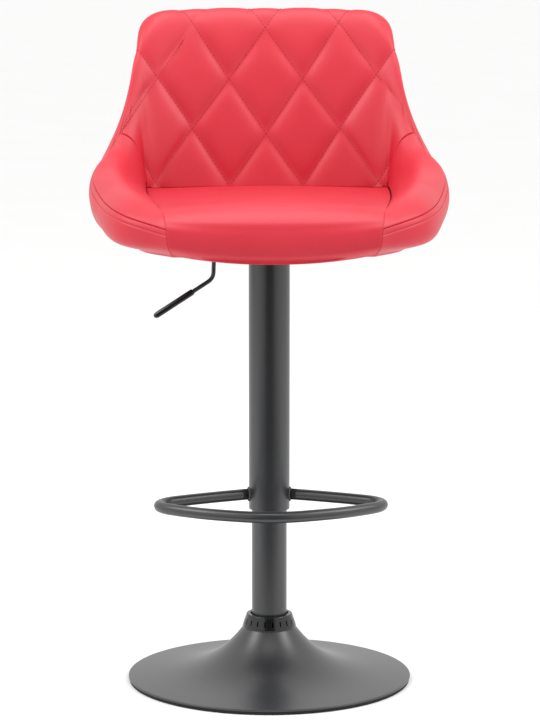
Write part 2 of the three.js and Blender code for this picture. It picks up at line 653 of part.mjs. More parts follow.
function addGrip() {
  const bore = LEVER_RADIUS + FIT;
  const grip = turned([
    [bore, 0],
    [GRIP_RADIUS - 0.8, 0],
    [GRIP_RADIUS, 1.5],
    [GRIP_RADIUS, GRIP_LENGTH - 4],
    [GRIP_RADIUS - 1, GRIP_LENGTH - 1.5],
    [GRIP_RADIUS - 2.6, GRIP_LENGTH],
    [0, GRIP_LENGTH],
    [0, GRIP_LENGTH - GRIP_TIP],
    [bore, GRIP_LENGTH - GRIP_TIP],
  ], SIDES_SMALL);
  const mesh = place('lever_grip', grip, blackPlastic());
  mesh.quaternion.setFromUnitVectors(new THREE.Vector3(0, 0, 1), gripAxis);
  mesh.position.copy(gripStart);
}

// Two ears on a strip, either side of the eye, with the pin through all three.
function addBracket() {
  const reachX = LEVER_PIN_RADIUS + BRACKET_MARGIN;
  const inner = LEVER_EYE_WIDTH / 2 + 2 * FIT;
  const outer = inner + BRACKET_SHEET;
  const low = panFloor + FIT;
  const strip = box(leverPivotX - reachX, leverPivotX + reachX, -outer, outer, low, low + BRACKET_SHEET);
  const ears = [-outer, inner].map((y) =>
    box(leverPivotX - reachX, leverPivotX + reachX, y, y + BRACKET_SHEET, low, leverZ + reachX));
  const hole = onPivot(0, LEVER_PIN_RADIUS + FIT, outer + 2);
  place('lever_bracket', cut(join(strip, ...ears), hole), zinc());
  place('lever_pin', onPivot(0, LEVER_PIN_RADIUS, outer + LEVER_PIN_RADIUS / 2), brightSteel());
}

// ---------- seat ----------
// The padded wall runs as a horseshoe from the front left end, round the back, to the front right
// end. Each station is a section through it on the right side, from the inner foot up the inside,
// over the crest, down the outside and under the edge: eight points of x, y and height above the
// board's underside. The net is drawn at the sizes below, and the left side mirrors the right.
const NET_WIDTH = 508;
const NET_DEPTH = 470;
const NET_EDGE = 76;
const NET_BACK = 233;
const STATIONS = [
  [[0, 128, 60], [0, 146, 154], [0, 170, 254], [0, 192, 309], [0, 212, 304], [0, 233, 214], [0, 232, 104],
    [0, 190, 0]],
  [[88, 124, 60], [92, 140, 154], [97, 163, 254], [99, 186, 309], [100, 206, 303], [106, 226, 214], [108, 224, 104],
    [92, 184, 0]],
  [[143, 113, 60], [153, 124, 149], [161, 145, 239], [159, 170, 299], [175, 189, 294], [173, 203, 214],
    [174, 198, 104], [152, 163, 0]],
  [[163, 104, 61], [173, 108, 124], [179, 123, 194], [187, 140, 244], [190, 155, 244], [193, 165, 170],
    [203, 160, 84], [178, 135, 1]],
  [[173, 94, 63], [178, 92, 102], [190, 88, 130], [207, 84, 142], [214, 84, 136], [241, 84, 96], [236, 82, 56],
    [200, 80, 2]],
  [[172, 30, 64], [182, 30, 82], [203, 28, 102], [231, 24, 104], [247, 22, 93], [253, 20, 64], [242, 18, 26],
    [205, 16, 3]],
  [[167, -60, 64], [178, -62, 77], [198, -66, 87], [219, -70, 84], [237, -72, 69], [244, -74, 49], [231, -72, 20],
    [195, -62, 3]],
  [[159, -140, 64], [164, -148, 72], [178, -158, 75], [193, -168, 69], [207, -177, 55], [212, -180, 37],
    [208, -173, 14], [175, -152, 2]],
  [[152, -188, 63], [149.5, -204, 60], [147.5, -217, 53], [146, -224, 46], [144, -229, 38], [143, -231, 24],
    [140.5, -228, 12], [136.5, -212, 2]],
];
const LAST = STATIONS.length - 1;
const BACK_SEAM = 4;                 // station of the seam between back panel and bolster
const REAR_SEAM = 3;                 // station of the seam between side and rear outer covers
const COVER_SEAM = 4;                // section point of the seam between bolster and outer cover
const HEM = 7;                       // last section point, under the edge
const SEAM_GAP = 0.03;               // half a seam's gap along the wall, in stations
const EDGE_GAP = 0.08;               // and across it, in section points
// How far up each section the stiff shell reaches, in section points.
const SHELL_REACH = [2, 2, 2, 1.9, 1.2, 1, 0.8, 0.6, 0.5];
const SHELL_END = 6.5;               // last station of the stiff shell
const SHELL_FOOT = 0.91;             // share of the hem's distance where the shell meets the board
const CORE = 0.6;                    // middle of the wall, from its inside to its outside
// The seat panel's centre line from the back corner over the front edge: y and height.
const SEAT_LINE = [[128, 62], [45, 70], [-55, 74], [-140, 76], [-192, 71], [-212, 62], [-226, 48], [-231, 37],
  [-234, 26], [-235, 13], [-232, 0], [-219, -10]];
const SIDE_START = 4;                // point of that line where the side seam turns down the front
const CROWN = 2.2;                   // power of the seat panel's crown across its width

function spline(values, t) {
  const last = values.length - 1;
  const i = Math.min(Math.max(Math.floor(t), 0), last - 1);
  const f = t - i;
  const get = (k) => {
    if (k < 0) {
      return values[0].map((v, n) => 2 * v - values[1][n]);
    }
    if (k > last) {
      return values[last].map((v, n) => 2 * v - values[last - 1][n]);
    }
    return values[k];
  };
  const [a, b, c, d] = [get(i - 1), get(i), get(i + 1), get(i + 2)];
  return b.map((_, n) => 0.5 * (2 * b[n] + (c[n] - a[n]) * f
    + (2 * a[n] - 5 * b[n] + 4 * c[n] - d[n]) * f * f + (3 * b[n] - a[n] - 3 * c[n] + d[n]) * f ** 3));
}

const mirrored = (section) => section.map(([x, y, z]) => [-x, y, z]);
const RING_OF_STATIONS = [...STATIONS.slice(1).reverse().map(mirrored), ...STATIONS];

// From the net to the real place: heights up to the seat edge follow the seat's thickness, and
// the rest follows the back.
function placed([x, y, height]) {
  const low = Math.min(height, NET_EDGE) * SEAT_THICKNESS / NET_EDGE;
  const high = Math.max(height - NET_EDGE, 0) * BACK_HEIGHT / NET_BACK;
  return new THREE.Vector3(x * SEAT_WIDTH / NET_WIDTH, y * SEAT_DEPTH / NET_DEPTH, BOARD_Z + low + high);
}

// A net point of the wall's surface at station u (-8 to 8) and section point v (0 to 7).
function wallNet(u, v) {
  const section = [];
  for (let k = 0; k <= HEM; k += 1) {
    section.push(spline(RING_OF_STATIONS.map((station) => station[k]), u + LAST));
  }
  return spline(section, v);
}

function reach(u) {
  const at = Math.abs(u);
  const i = Math.min(Math.floor(at), LAST - 1);
  return SHELL_REACH[i] + (SHELL_REACH[i + 1] - SHELL_REACH[i]) * (at - i);
}

// The middle of the wall, where the stiff shell lies, opposite section point v.
function core(u, v) {
  const opposite = HEM - 1;
  const m = Math.min(Math.max(Math.min(v, opposite - v), 0), reach(u));
  return placed(wallNet(u, m)).lerp(placed(wallNet(u, opposite - m)), CORE);
}

// A point of the padding: depth 1 is the surface, 0 the middle of the wall.
function padding(u, v, depth) {
  return core(u, v).lerp(placed(wallNet(u, v)), depth);
}

function steps(from, to, count) {
  return Array.from({ length: count + 1 }, (_, i) => from + (to - from) * i / count);
}

// Stations of a padded piece: its two ends and the shared divisions between them, so that
// neighbours have the same facets along their seam.
function shared(from, to) {
  const division = 0.4;
  const inside = steps(-LAST, LAST, Math.round(2 * LAST / division));
  return [from, ...inside.filter((u) => u > from + 0.1 && u < to - 0.1), to];
}

function wallPad(from, to, vRange, columns, innerDepth) {
  const grid = (depth) => shared(from, to).map((u) => steps(...vRange, columns).map((v) => padding(u, v, depth)));
  return between(grid(1), grid(innerDepth));
}

// Outline of the seat board: the wall's hem, drawn in by an inset.
function boardOutline(inset) {
  const shape = new THREE.Shape();
  steps(-LAST, LAST, SIDES_SMALL).forEach((u, i) => {
    const hem = placed(wallNet(u, HEM));
    const pull = 1 - inset / Math.hypot(hem.x, hem.y);
    const x = hem.x * pull;
    const y = hem.y * pull;
    if (i === 0) {
      shape.moveTo(x, y);
    } else {
      shape.lineTo(x, y);
    }
  });
  return shape;
}

function rectangle(halfX, halfY) {
  const path = new THREE.Path();
  path.moveTo(-halfX, -halfY);
  path.lineTo(halfX, -halfY);
  path.lineTo(halfX, halfY);
  path.lineTo(-halfX, halfY);
  return path;
}

function seatBoard() {
  const outline = boardOutline(BOARD_INSET);
  const options = { depth: BOARD_THICKNESS, bevelEnabled: false };
  const board = closed(new THREE.ExtrudeGeometry(outline, options).translate(0, 0, BOARD_Z));
  const holes = boltPlaces().map(([x, y]) =>
    ring(0, NUT_BARREL_RADIUS + FIT, BOARD_Z - 5, boardTop + 5, SIDES_SMALL).translate(x, y, 0));
  return cut(board, ...holes);
}

function dustCover() {
  const outline = boardOutline(DUST_COVER_INSET);
  outline.holes.push(rectangle(flangeHalfX + FIT, flangeHalfY + FIT));
  const options = { depth: DUST_COVER, bevelEnabled: false };
  return closed(new THREE.ExtrudeGeometry(outline, options).translate(0, 0, BOARD_Z - FIT - DUST_COVER));
}

// Bent shell: rises from the board's edge into the middle of the wall.
function seatShell() {
  const grid = steps(-SHELL_END, SHELL_END, 24).map((u) => {
    const hem = placed(wallNet(u, HEM));
    const edge = new THREE.Vector3(hem.x * SHELL_FOOT, hem.y * SHELL_FOOT, boardTop + SHELL_THICKNESS / 2 + 1);
    const foot = core(u, 0);
    const rising = steps(0, reach(u), 5).map((m) => core(u, m));
    return [edge, edge.clone().lerp(foot, 0.5), ...rising];
  });
  return sheet(grid, SHELL_THICKNESS);
}

// The seat panel's surface at share a of the half width and point c of its centre line. It is
// crowned between its side seams, and meets the back panel's foot along its rear edge.
function seatTop(a, c) {
  const share = Math.abs(a) ** CROWN;
  const blend = (line, side) => [side[0] * a, ...line.map((value, n) => value + (side[n + 1] - value) * share)];
  const side = wallNet(BACK_SEAM + Math.min(c, SIDE_START), Math.max(c - SIDE_START, 0));
  const point = blend(spline(SEAT_LINE, c), side);
  const start = blend(SEAT_LINE[0], wallNet(BACK_SEAM, 0));
  const foot = wallNet(BACK_SEAM * a, 0);
  const pull = Math.max(1 - c, 0) ** 2;
  return placed(point.map((value, n) => value + pull * (foot[n] - start[n])));
}

function seatCushion() {
  const across = steps(-0.985, 0.985, 14);
  const along = [0.08, 0.5, 1, 2, 3, 4, 4.6, 5.3, 6, 7, 8, 9, 10, 11];
  const end = along.at(-1);
  const wrap = 5;                    // from here the padding wraps the board's front edge
  const boardFront = boardOutline(BOARD_INSET).getPoints()[0].y - 3 * FIT;
  const restZ = boardTop + NUT_FLANGE + 2 * FIT;
  const bottom = (a, c) => {
    const surface = seatTop(a, c);
    const down = Math.max(c - wrap, 0) / (end - wrap);
    const z = restZ + (seatTop(a, end).z + 6 - restZ) * down;
    return new THREE.Vector3(surface.x * 0.96, Math.max(surface.y + 3 * down, boardFront), z);
  };
  return between(
    across.map((a) => along.map((c) => seatTop(a, c))),
    across.map((a) => along.map((c) => bottom(a, c))),
  );
}

function addSeat() {
  place('seat_board', seatBoard(), plywood());
  place('seat_shell', seatShell(), plywood());
  place('dust_cover', dustCover(), blackPlastic());
  place('seat_cushion', seatCushion(), redLeather());
  const inside = [0, COVER_SEAM - EDGE_GAP];
  const outside = [COVER_SEAM + EDGE_GAP, HEM];
  const padDepth = 0.36;
  const coverDepth = 0.62;
  const back = BACK_SEAM - SEAM_GAP;
  const side = BACK_SEAM + SEAM_GAP;
  const rear = REAR_SEAM + 2 * SEAM_GAP;
  const end = LAST - SEAM_GAP;
  place('back_pad', wallPad(-back, back, inside, 8, padDepth), redLeather());
  place('outer_cover_back', wallPad(-REAR_SEAM, REAR_SEAM, outside, 5, coverDepth), redLeather());
  place('bolster_left', wallPad(-end, -side, inside, 7, padDepth), redLeather());
  place('bolster_right', wallPad(side, end, inside, 7, padDepth), redLeather());
  place('outer_cover_left', wallPad(-end, -rear, outside, 5, coverDepth), redLeather());
  place('outer_cover_right', wallPad(rear, end, outside, 5, coverDepth), redLeather());
}

addFoot();
addCollar();
addColumn();
addRod();
addPiston();
addTube();
addFootrest();
addMechanism();
addSeat();

export default stool;
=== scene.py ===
"""Adjustable swivel bar stool with a quilted bucket seat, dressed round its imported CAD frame.

Metres, +Z up, seat front towards -Y. The file follows the stool from the floor upwards.
"""
import math

import bmesh
import bpy
import numpy as np
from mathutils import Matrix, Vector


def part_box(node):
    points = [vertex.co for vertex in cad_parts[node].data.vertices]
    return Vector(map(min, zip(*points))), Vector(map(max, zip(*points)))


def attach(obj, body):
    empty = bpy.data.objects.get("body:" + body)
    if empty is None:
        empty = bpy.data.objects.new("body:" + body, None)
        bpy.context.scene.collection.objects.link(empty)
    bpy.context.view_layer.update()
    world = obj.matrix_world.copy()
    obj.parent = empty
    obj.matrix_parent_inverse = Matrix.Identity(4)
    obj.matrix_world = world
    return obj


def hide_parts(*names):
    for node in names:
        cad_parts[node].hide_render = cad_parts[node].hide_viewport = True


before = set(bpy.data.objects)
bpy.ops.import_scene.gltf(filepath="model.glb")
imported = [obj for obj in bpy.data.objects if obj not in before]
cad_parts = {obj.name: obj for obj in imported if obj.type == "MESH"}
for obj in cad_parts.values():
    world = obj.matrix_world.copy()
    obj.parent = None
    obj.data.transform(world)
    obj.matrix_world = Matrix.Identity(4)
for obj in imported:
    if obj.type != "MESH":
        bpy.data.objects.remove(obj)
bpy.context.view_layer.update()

# ---------- camera ----------
# A long lens from the front, a little above the seat and a touch to the stool's right.
CAMERA_DISTANCE = 4.2
CAMERA_SIDESTEP = 0.001
CAMERA_HEIGHT = 1.12
CAMERA_TILT = math.radians(8.89)
CAMERA_AZIMUTH = math.radians(-1.8)
CAMERA_LENS = 149.98

camera = bpy.data.objects.new("camera", bpy.data.cameras.new("camera"))
bpy.context.collection.objects.link(camera)
camera.data.lens = CAMERA_LENS
camera.data.sensor_width = 36
camera.data.clip_end = 200
sine, cosine = math.sin(CAMERA_AZIMUTH), math.cos(CAMERA_AZIMUTH)
camera.location = (
    sine * CAMERA_DISTANCE + cosine * CAMERA_SIDESTEP,
    -cosine * CAMERA_DISTANCE + sine * CAMERA_SIDESTEP,
    CAMERA_HEIGHT,
)
camera.rotation_euler = (math.pi / 2 - CAMERA_TILT, 0, CAMERA_AZIMUTH)
bpy.context.scene.camera = camera
bpy.context.scene.view_settings.view_transform = "Standard"


# ---------- studio floor ----------
# A seamless sweep of matt white painted board, which runs far behind the stool.
def srgb(code):
    """The linear colour of an sRGB hex code: below a knee a straight line, above it a power of 2.4."""
    parts = np.array([int(code[i : i + 2], 16) for i in (1, 3, 5)]) / 255
    linear = np.where(parts <= 0.04045, parts / 12.92, ((parts + 0.055) / 1.055) ** 2.4)
    return (*linear.tolist(), 1.0)


def add(tree, kind, inputs=None, **settings):
    """A new shader node with its settings; each input is a value, or an output to link from."""
    node = tree.nodes.new("ShaderNode" + kind)
    for name, value in settings.items():
        setattr(node, name, value)
    for name, value in (inputs or {}).items():
        if isinstance(value, bpy.types.NodeSocket):
            tree.links.new(value, node.inputs[name])
        else:
            node.inputs[name].default_value = value
    return node


def new_finish(name, **inputs):
    """A material of one surface shader with these inputs, and its node tree and shader."""
    finish = bpy.data.materials.new(name)
    finish.use_nodes = True
    shader = finish.node_tree.nodes["Principled BSDF"]
    for key, value in inputs.items():
        shader.inputs[key.replace("_", " ")].default_value = value
    return finish, finish.node_tree, shader


def grain(tree, scale, detail=2.0):
    """Cloudy noise in the piece's own space, `scale` cells to the metre."""
    place = add(tree, "TexCoord").outputs["Object"]
    return add(tree, "TexNoise", {"Vector": place, "Scale": scale, "Detail": detail})


def tint(tree, shader, amount, first, second):
    """Colour the surface between two hex colours, by an amount from 0 to 1."""
    mix = add(tree, "Mix", {0: amount, 6: srgb(first), 7: srgb(second)}, data_type="RGBA")
    tree.links.new(mix.outputs[2], shader.inputs["Base Color"])


def card(name, points, faces, finish):
    """A flat or folded piece of the studio, from its points and faces."""
    mesh = bpy.data.meshes.new(name)
    mesh.from_pydata(points, [], faces)
    mesh.materials.append(finish)
    item = bpy.data.objects.new(name, mesh)
    bpy.context.collection.objects.link(item)
    return item


FLOOR_HALF_WIDTH = 20.0
FLOOR_FRONT, FLOOR_BACK = -9.0, 60.0

floor_paint, tree, shader = new_finish("matt white emulsion", Roughness=0.9, Specular_IOR_Level=0.1)
tint(tree, shader, grain(tree, 3.0).outputs["Fac"], "#F3F3F2", "#F6F6F6")

corners = [(-1, FLOOR_FRONT), (1, FLOOR_FRONT), (1, FLOOR_BACK), (-1, FLOOR_BACK)]
floor_points = [(x * FLOOR_HALF_WIDTH, y, 0) for x, y in corners]
studio_floor = card("studio_floor", floor_points, [(0, 1, 2, 3)], floor_paint)

# ---------- studio light ----------
# An even white surround, and soft boxes overhead and on either side.
SURROUND = 1.06
SOFT_BOXES = [
    ("overhead", (0.0, -0.45, 2.7), 1.3, 21.0),
    ("left_box", (-1.9, -0.6, 2.3), 1.1, 22.0),
    ("right_box", (1.9, -0.6, 2.3), 1.1, 21.0),
]
LIT_POINT = np.array([0.0, 0.0, 0.55])

world = bpy.data.worlds.new("studio")
world.use_nodes = True
world.node_tree.nodes["Background"].inputs["Color"].default_value = (1, 1, 1, 1)
world.node_tree.nodes["Background"].inputs["Strength"].default_value = SURROUND
bpy.context.scene.world = world
for name, place, size, power in SOFT_BOXES:
    lamp = bpy.data.lights.new(name, "AREA")
    lamp.shape, lamp.size, lamp.energy = "SQUARE", size, power
    box = bpy.data.objects.new(name, lamp)
    bpy.context.collection.objects.link(box)
    x, y, z = LIT_POINT - np.array(place)
    box.location = place
    box.rotation_euler = (math.acos(-z / math.sqrt(x * x + y * y + z * z)), 0, math.atan2(-x, y))
    box.visible_camera = False

# ---------- black flag ----------
# A matt black card in front of the stool and up under the lens. It is seen only mirrored, as the
# dark band down the middle of round metal, and casts no shadow.
FLAG_HALF_WIDTH = 1.5
FLAG_FRONT, FLAG_BACK = -0.55, -3.4
FLAG_TOP = 2.4
FLAG_OVERHANG = (-1.9, 3.2)

flag_card, tree, shader = new_finish("matt black card", Roughness=0.9, Specular_IOR_Level=0.1)
tint(tree, shader, grain(tree, 40.0).outputs["Fac"], "#0B0B0B", "#121212")

bends = [(FLAG_FRONT, 0.002), (FLAG_BACK, 0.002), (FLAG_BACK, FLAG_TOP), FLAG_OVERHANG]
flag_points = [(side * FLAG_HALF_WIDTH, y, z) for y, z in bends for side in (-1, 1)]
black_flag = card("black_flag", flag_points, [(0, 1, 3, 2), (2, 3, 5, 4), (4, 5, 7, 6)], flag_card)
black_flag.visible_camera = black_flag.visible_diffuse = black_flag.visible_shadow = False

# ---------- floor ring ----------
# A moulded black rubber ring pressed under the foot's rim; it alone meets the floor.
MOST_CUT = 0.36
HELD_FLAT = 0.3


def rounded(corners, cut, steps=5, loop=True):
    """A line through corners, each replaced by an arc: the quadratic curve from a point `cut` before
    the corner to one `cut` after it. A straight bit is kept on either side to hold the flats flat."""
    p = np.asarray(corners, float)
    before, after = np.roll(p, 1, 0) - p, np.roll(p, -1, 0) - p
    lengths = [np.linalg.norm(side, axis=1, keepdims=True) for side in (before, after)]
    room = np.minimum(*lengths) * MOST_CUT
    reach = np.minimum(np.broadcast_to(np.reshape(cut, (-1, 1)), room.shape), room)
    start = p + before / lengths[0] * reach
    end = p + after / lengths[1] * reach
    t = np.linspace(0, 1, steps)[:, None, None]
    arc = (1 - t) ** 2 * start + 2 * t * (1 - t) * p + t**2 * end
    held = np.concatenate([[start + HELD_FLAT * (start - p)], arc, [end + HELD_FLAT * (end - p)]])
    held = held.transpose(1, 0, 2)
    if loop:
        return held.reshape(-1, p.shape[1])
    return np.concatenate([p[:1], held[1:-1].reshape(-1, p.shape[1]), p[-1:]])


def quads(rows, columns, wrap_rows=False, wrap_columns=False):
    """Four-sided faces of a grid of points numbered row by row, closing round where it wraps."""
    i = np.arange(rows if wrap_rows else rows - 1)[:, None]
    j = np.arange(columns if wrap_columns else columns - 1)[None, :]
    up, right = (i + 1) % rows, (j + 1) % columns
    return np.stack([i * columns + j, up * columns + j, up * columns + right, i * columns + right], -1).reshape(-1, 4)


def turned(profile, segments):
    """A shell of revolution about Z: each (radius, height) of the closed profile goes to
    (radius cos angle, radius sin angle, height)."""
    angle = np.linspace(0, 2 * np.pi, segments, endpoint=False)[:, None]
    radius, height = profile.T
    points = np.stack([radius * np.cos(angle), radius * np.sin(angle), height + 0 * angle], -1)
    return points.reshape(-1, 3), quads(segments, len(profile), True, True)


def new_piece(name, shells, finish):
    """One smooth-shaded mesh object of several (points, faces) shells, faces outwards."""
    starts = np.cumsum([0] + [len(points) for points, _ in shells[:-1]])
    points = np.concatenate([points for points, _ in shells]).astype(np.float32)
    faces = np.concatenate([quad + start for (_, quad), start in zip(shells, starts)]).astype(np.int32)
    mesh = bpy.data.meshes.new(name)
    mesh.vertices.add(len(points))
    mesh.vertices.foreach_set("co", points.ravel())
    mesh.loops.add(faces.size)
    mesh.loops.foreach_set("vertex_index", faces.ravel())
    mesh.polygons.add(len(faces))
    mesh.polygons.foreach_set("loop_start", np.arange(0, faces.size, 4, dtype=np.int32))
    mesh.update(calc_edges=True)
    work = bmesh.new()
    work.from_mesh(mesh)
    bmesh.ops.remove_doubles(work, verts=work.verts, dist=2e-6)
    bmesh.ops.recalc_face_normals(work, faces=work.faces)
    work.to_mesh(mesh)
    work.free()
    mesh.shade_smooth()
    mesh.materials.append(finish)
    item = bpy.data.objects.new(name, mesh)
    bpy.context.collection.objects.link(item)
    return item


def fit(item, body, slot, *nodes):
    """The piece rides on a body and stands for these CAD nodes, which are hidden. The slot is not used."""
    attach(item, body)
    if nodes:
        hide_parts(*nodes)


def roughen(tree, shader, height, depth, strength=1.0):
    """Bump the surface by a height from 0 to 1 that stands for `depth` metres."""
    bump = add(tree, "Bump", {"Height": height, "Distance": depth, "Strength": strength})
    tree.links.new(bump.outputs["Normal"], shader.inputs["Normal"])


# Moulded EPDM rubber: near black, dull, with a fine dusty grain of about a millimetre.
RUBBER_GRAIN = 1 / 0.0011
rubber, tree, shader = new_finish("moulded EPDM rubber", Roughness=0.82, IOR=1.5)
dust = grain(tree, RUBBER_GRAIN, 3.0)
tint(tree, shader, dust.outputs["Fac"], "#101011", "#1D1D1D")
roughen(tree, shader, dust.outputs["Fac"], 0.0001)

ring_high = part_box("floor_ring")[1]
RING_WIDTH = 0.010
RING_WALL_HEIGHT = 0.0045
RING_DRAFT = 0.0005
RING_EDGE = 0.0009
ring_outer = ring_high.x
ring_profile = rounded(
    [
        (ring_outer - RING_WIDTH, 0),
        (ring_outer, 0),
        (ring_outer, RING_WALL_HEIGHT),
        (ring_outer - RING_DRAFT, ring_high.z),
        (ring_outer - RING_WIDTH, ring_high.z),
    ],
    RING_EDGE,
)
floor_ring = new_piece("floor_ring_rubber", [turned(ring_profile, 220)], rubber)
fit(floor_ring, "foot", "black_rubber", "floor_ring")

# ---------- foot shell ----------
# One disc of 1.5 mm steel spun into a trumpet, its rim turned down, then powder coated charcoal.
SHELL_SHEET = 0.0015
NECK_RADIUS = 0.0385
NECK_HEIGHT = 0.0757
NECK_RISE = 0.006
NECK_SLOPE = 1.5
RIM_HEIGHT = 0.0074
RIM_FALL = 0.1
RIM_LIP = 0.0026
RIM_BEND = 0.0012
LIP_EDGE = 0.0003
rim_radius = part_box("base_shell")[1].x


def shell_height(radius):
    """Height of the outer face: a straight fall of 1 in 10 to the rim, plus a rise that grows with the
    fourth power of the distance in from the rim."""
    span = rim_radius - NECK_RADIUS
    share = (rim_radius - radius) / span
    rise = NECK_HEIGHT - RIM_HEIGHT - RIM_FALL * span
    return RIM_HEIGHT + RIM_FALL * (rim_radius - radius) + rise * share**4


def polish(tree, shader, amount, low, high):
    """Roughness from low to high, by an amount from 0 to 1."""
    spread = add(tree, "MapRange", {"Value": amount, "To Min": low, "To Max": high})
    tree.links.new(spread.outputs["Result"], shader.inputs["Roughness"])


# Polyester powder coat: a baked satin skin, charcoal, with a faint orange peel of 2 to 3 mm and
# a finer sparkle-free grain, drawn a little coarse so that it shows.
PEEL = 1 / 0.0026
COAT_GRAIN = 1 / 0.0008
powder_coat, tree, shader = new_finish("charcoal polyester powder coat", IOR=1.5, Specular_IOR_Level=0.8)
peel, fine = grain(tree, PEEL, 2.0), grain(tree, COAT_GRAIN, 2.0)
tint(tree, shader, peel.outputs["Fac"], "#232427", "#292A2C")
heights = add(tree, "Math", {0: peel.outputs["Fac"], 1: fine.outputs["Fac"]}, operation="ADD")
polish(tree, shader, fine.outputs["Fac"], 0.29, 0.38)
roughen(tree, shader, heights.outputs["Value"], 0.00003, 0.5)

share = np.linspace(0, 1, 60) ** 1.4
radius = NECK_RADIUS + share * (rim_radius - RIM_BEND - NECK_RADIUS)
outside = np.stack([radius, shell_height(radius)], 1)
slope = np.gradient(outside[:, 1], outside[:, 0])
normal = np.stack([-slope, np.ones_like(slope)], 1) / np.sqrt(1 + slope**2)[:, None]
inside = outside - SHELL_SHEET * normal
turn = np.linspace(np.pi / 2, 0, 7)[1:, None]
bend_centre = np.array([rim_radius - RIM_BEND, RIM_HEIGHT - 0.0011])
rim_bend = bend_centre + RIM_BEND * np.concatenate([np.cos(turn), np.sin(turn)], 1)
lip_bottom = RIM_HEIGHT - RIM_LIP
lip_inside = rim_radius - SHELL_SHEET
lip = [
    (rim_radius, lip_bottom + LIP_EDGE),
    (rim_radius - LIP_EDGE, lip_bottom),
    (lip_inside + LIP_EDGE, lip_bottom),
    (lip_inside, lip_bottom + LIP_EDGE),
    (lip_inside, RIM_HEIGHT - SHELL_SHEET - 0.0005),
]
neck_top = NECK_HEIGHT + NECK_RISE
neck_radius = NECK_RADIUS - NECK_RISE / NECK_SLOPE
neck = [(neck_radius - SHELL_SHEET, neck_top), (neck_radius, neck_top)]
shell_profile = np.concatenate([outside, rim_bend, lip, inside[:-2][::-1], neck])
foot_shell = new_piece("foot_shell", [turned(shell_profile, 256)], powder_coat)
fit(foot_shell, "foot", "powder_coat", "base_shell")

# ---------- ballast plate and hub ----------
# A zinc plated steel disc low in the foot, and the turned hub that holds the standpipe upright.
# Bright zinc plate: pale blue-grey metal, patchy in its gloss where the bath left it.
zinc, tree, shader = new_finish("bright zinc plated steel", Metallic=1.0, Roughness=0.36)
patches = grain(tree, 1 / 0.012, 4.0)
tint(tree, shader, patches.outputs["Fac"], "#A9AEB3", "#C3C7CA")
polish(tree, shader, patches.outputs["Fac"], 0.28, 0.45)


def dress(finish, *nodes):
    """Give carried-over CAD nodes a finish, in their own material slots."""
    for name in nodes:
        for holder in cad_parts[name].material_slots:
            holder.material = finish


dress(zinc, "ballast_plate", "base_hub")

# ---------- collar ----------
# A glossy black ABS trim ring round the column's foot, moulded with a row of narrow upright slots.
COLLAR_TOP_RADIUS = 0.0325
COLLAR_BORE = 0.027
COLLAR_WALL = 0.0025
COLLAR_SLOTS = 20
COLLAR_HEIGHT = 0.020
SLOT_WIDTH, SLOT_HEIGHT = 0.002, 0.007
SLOT_PHASE = 0.35

# Injection moulded ABS, polished tool: black and glossy, with the faint flow haze of moulding.
abs_plastic, tree, shader = new_finish("glossy black ABS", IOR=1.54, Roughness=0.2)
haze = grain(tree, 1 / 0.006, 3.0)
tint(tree, shader, haze.outputs["Fac"], "#0E0F11", "#17181A")
polish(tree, shader, haze.outputs["Fac"], 0.16, 0.3)
roughen(tree, shader, grain(tree, 1 / 0.0012).outputs["Fac"], 0.00001)


def block(low, high, angle=0.0):
    """A box between two corners, turned about Z by an angle."""
    x, y, z = np.meshgrid(*zip(low, high), indexing="ij")
    x, y, z = x.ravel(), y.ravel(), z.ravel()
    points = np.stack([x * np.cos(angle) - y * np.sin(angle), x * np.sin(angle) + y * np.cos(angle), z], 1)
    faces = [(0, 1, 3, 2), (4, 6, 7, 5), (0, 4, 5, 1), (2, 3, 7, 6), (0, 2, 6, 4), (1, 5, 7, 3)]
    return points, np.array(faces)


def cut_out(item, shells):
    """Cut closed shells out of a piece with an exact boolean, and keep the result as its mesh."""
    cutter = new_piece("cutter", shells, item.data.materials[0])
    change = item.modifiers.new("cut", "BOOLEAN")
    change.operation, change.solver, change.object = "DIFFERENCE", "EXACT", cutter
    ready = item.evaluated_get(bpy.context.evaluated_depsgraph_get())
    mesh = bpy.data.meshes.new_from_object(ready)
    item.modifiers.clear()
    item.data = mesh
    mesh.set_sharp_from_angle(angle=math.radians(40))
    bpy.data.objects.remove(cutter)


collar_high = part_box("collar")[1]
foot_z = collar_high.z - COLLAR_HEIGHT
collar_profile = rounded(
    [
        (NECK_RADIUS - COLLAR_WALL, foot_z + COLLAR_WALL * NECK_SLOPE),
        (NECK_RADIUS, foot_z),
        (NECK_RADIUS, foot_z + 0.002),
        (COLLAR_TOP_RADIUS, collar_high.z),
        (COLLAR_BORE, collar_high.z),
        (COLLAR_BORE, collar_high.z - COLLAR_WALL),
        (COLLAR_TOP_RADIUS - COLLAR_WALL, collar_high.z - COLLAR_WALL),
    ],
    [0.0004, 0.0004, 0.001, 0.0012, 0.0005, 0.0004, 0.0004],
)
collar = new_piece("trim_collar", [turned(collar_profile, 120)], abs_plastic)
slot_z = foot_z + (COLLAR_HEIGHT - SLOT_HEIGHT) / 2
slot_low = (COLLAR_TOP_RADIUS - 0.006, -SLOT_WIDTH / 2, slot_z)
slot_high = (NECK_RADIUS + 0.004, SLOT_WIDTH / 2, slot_z + SLOT_HEIGHT)
angles = 2 * np.pi * (np.arange(COLLAR_SLOTS) + SLOT_PHASE) / COLLAR_SLOTS
cut_out(collar, [block(slot_low, slot_high, angle) for angle in angles])
fit(collar, "foot", "black_plastic", "collar")

# ---------- column tubes ----------
# Two drawn steel tubes, powder coated: the 50 mm standpipe in the foot, and the sleeve that hides
# the gas spring and rises with the seat, its lower edge rolled in.
TUBE_WALL = 0.0015
ROLLED_IN = 0.0009


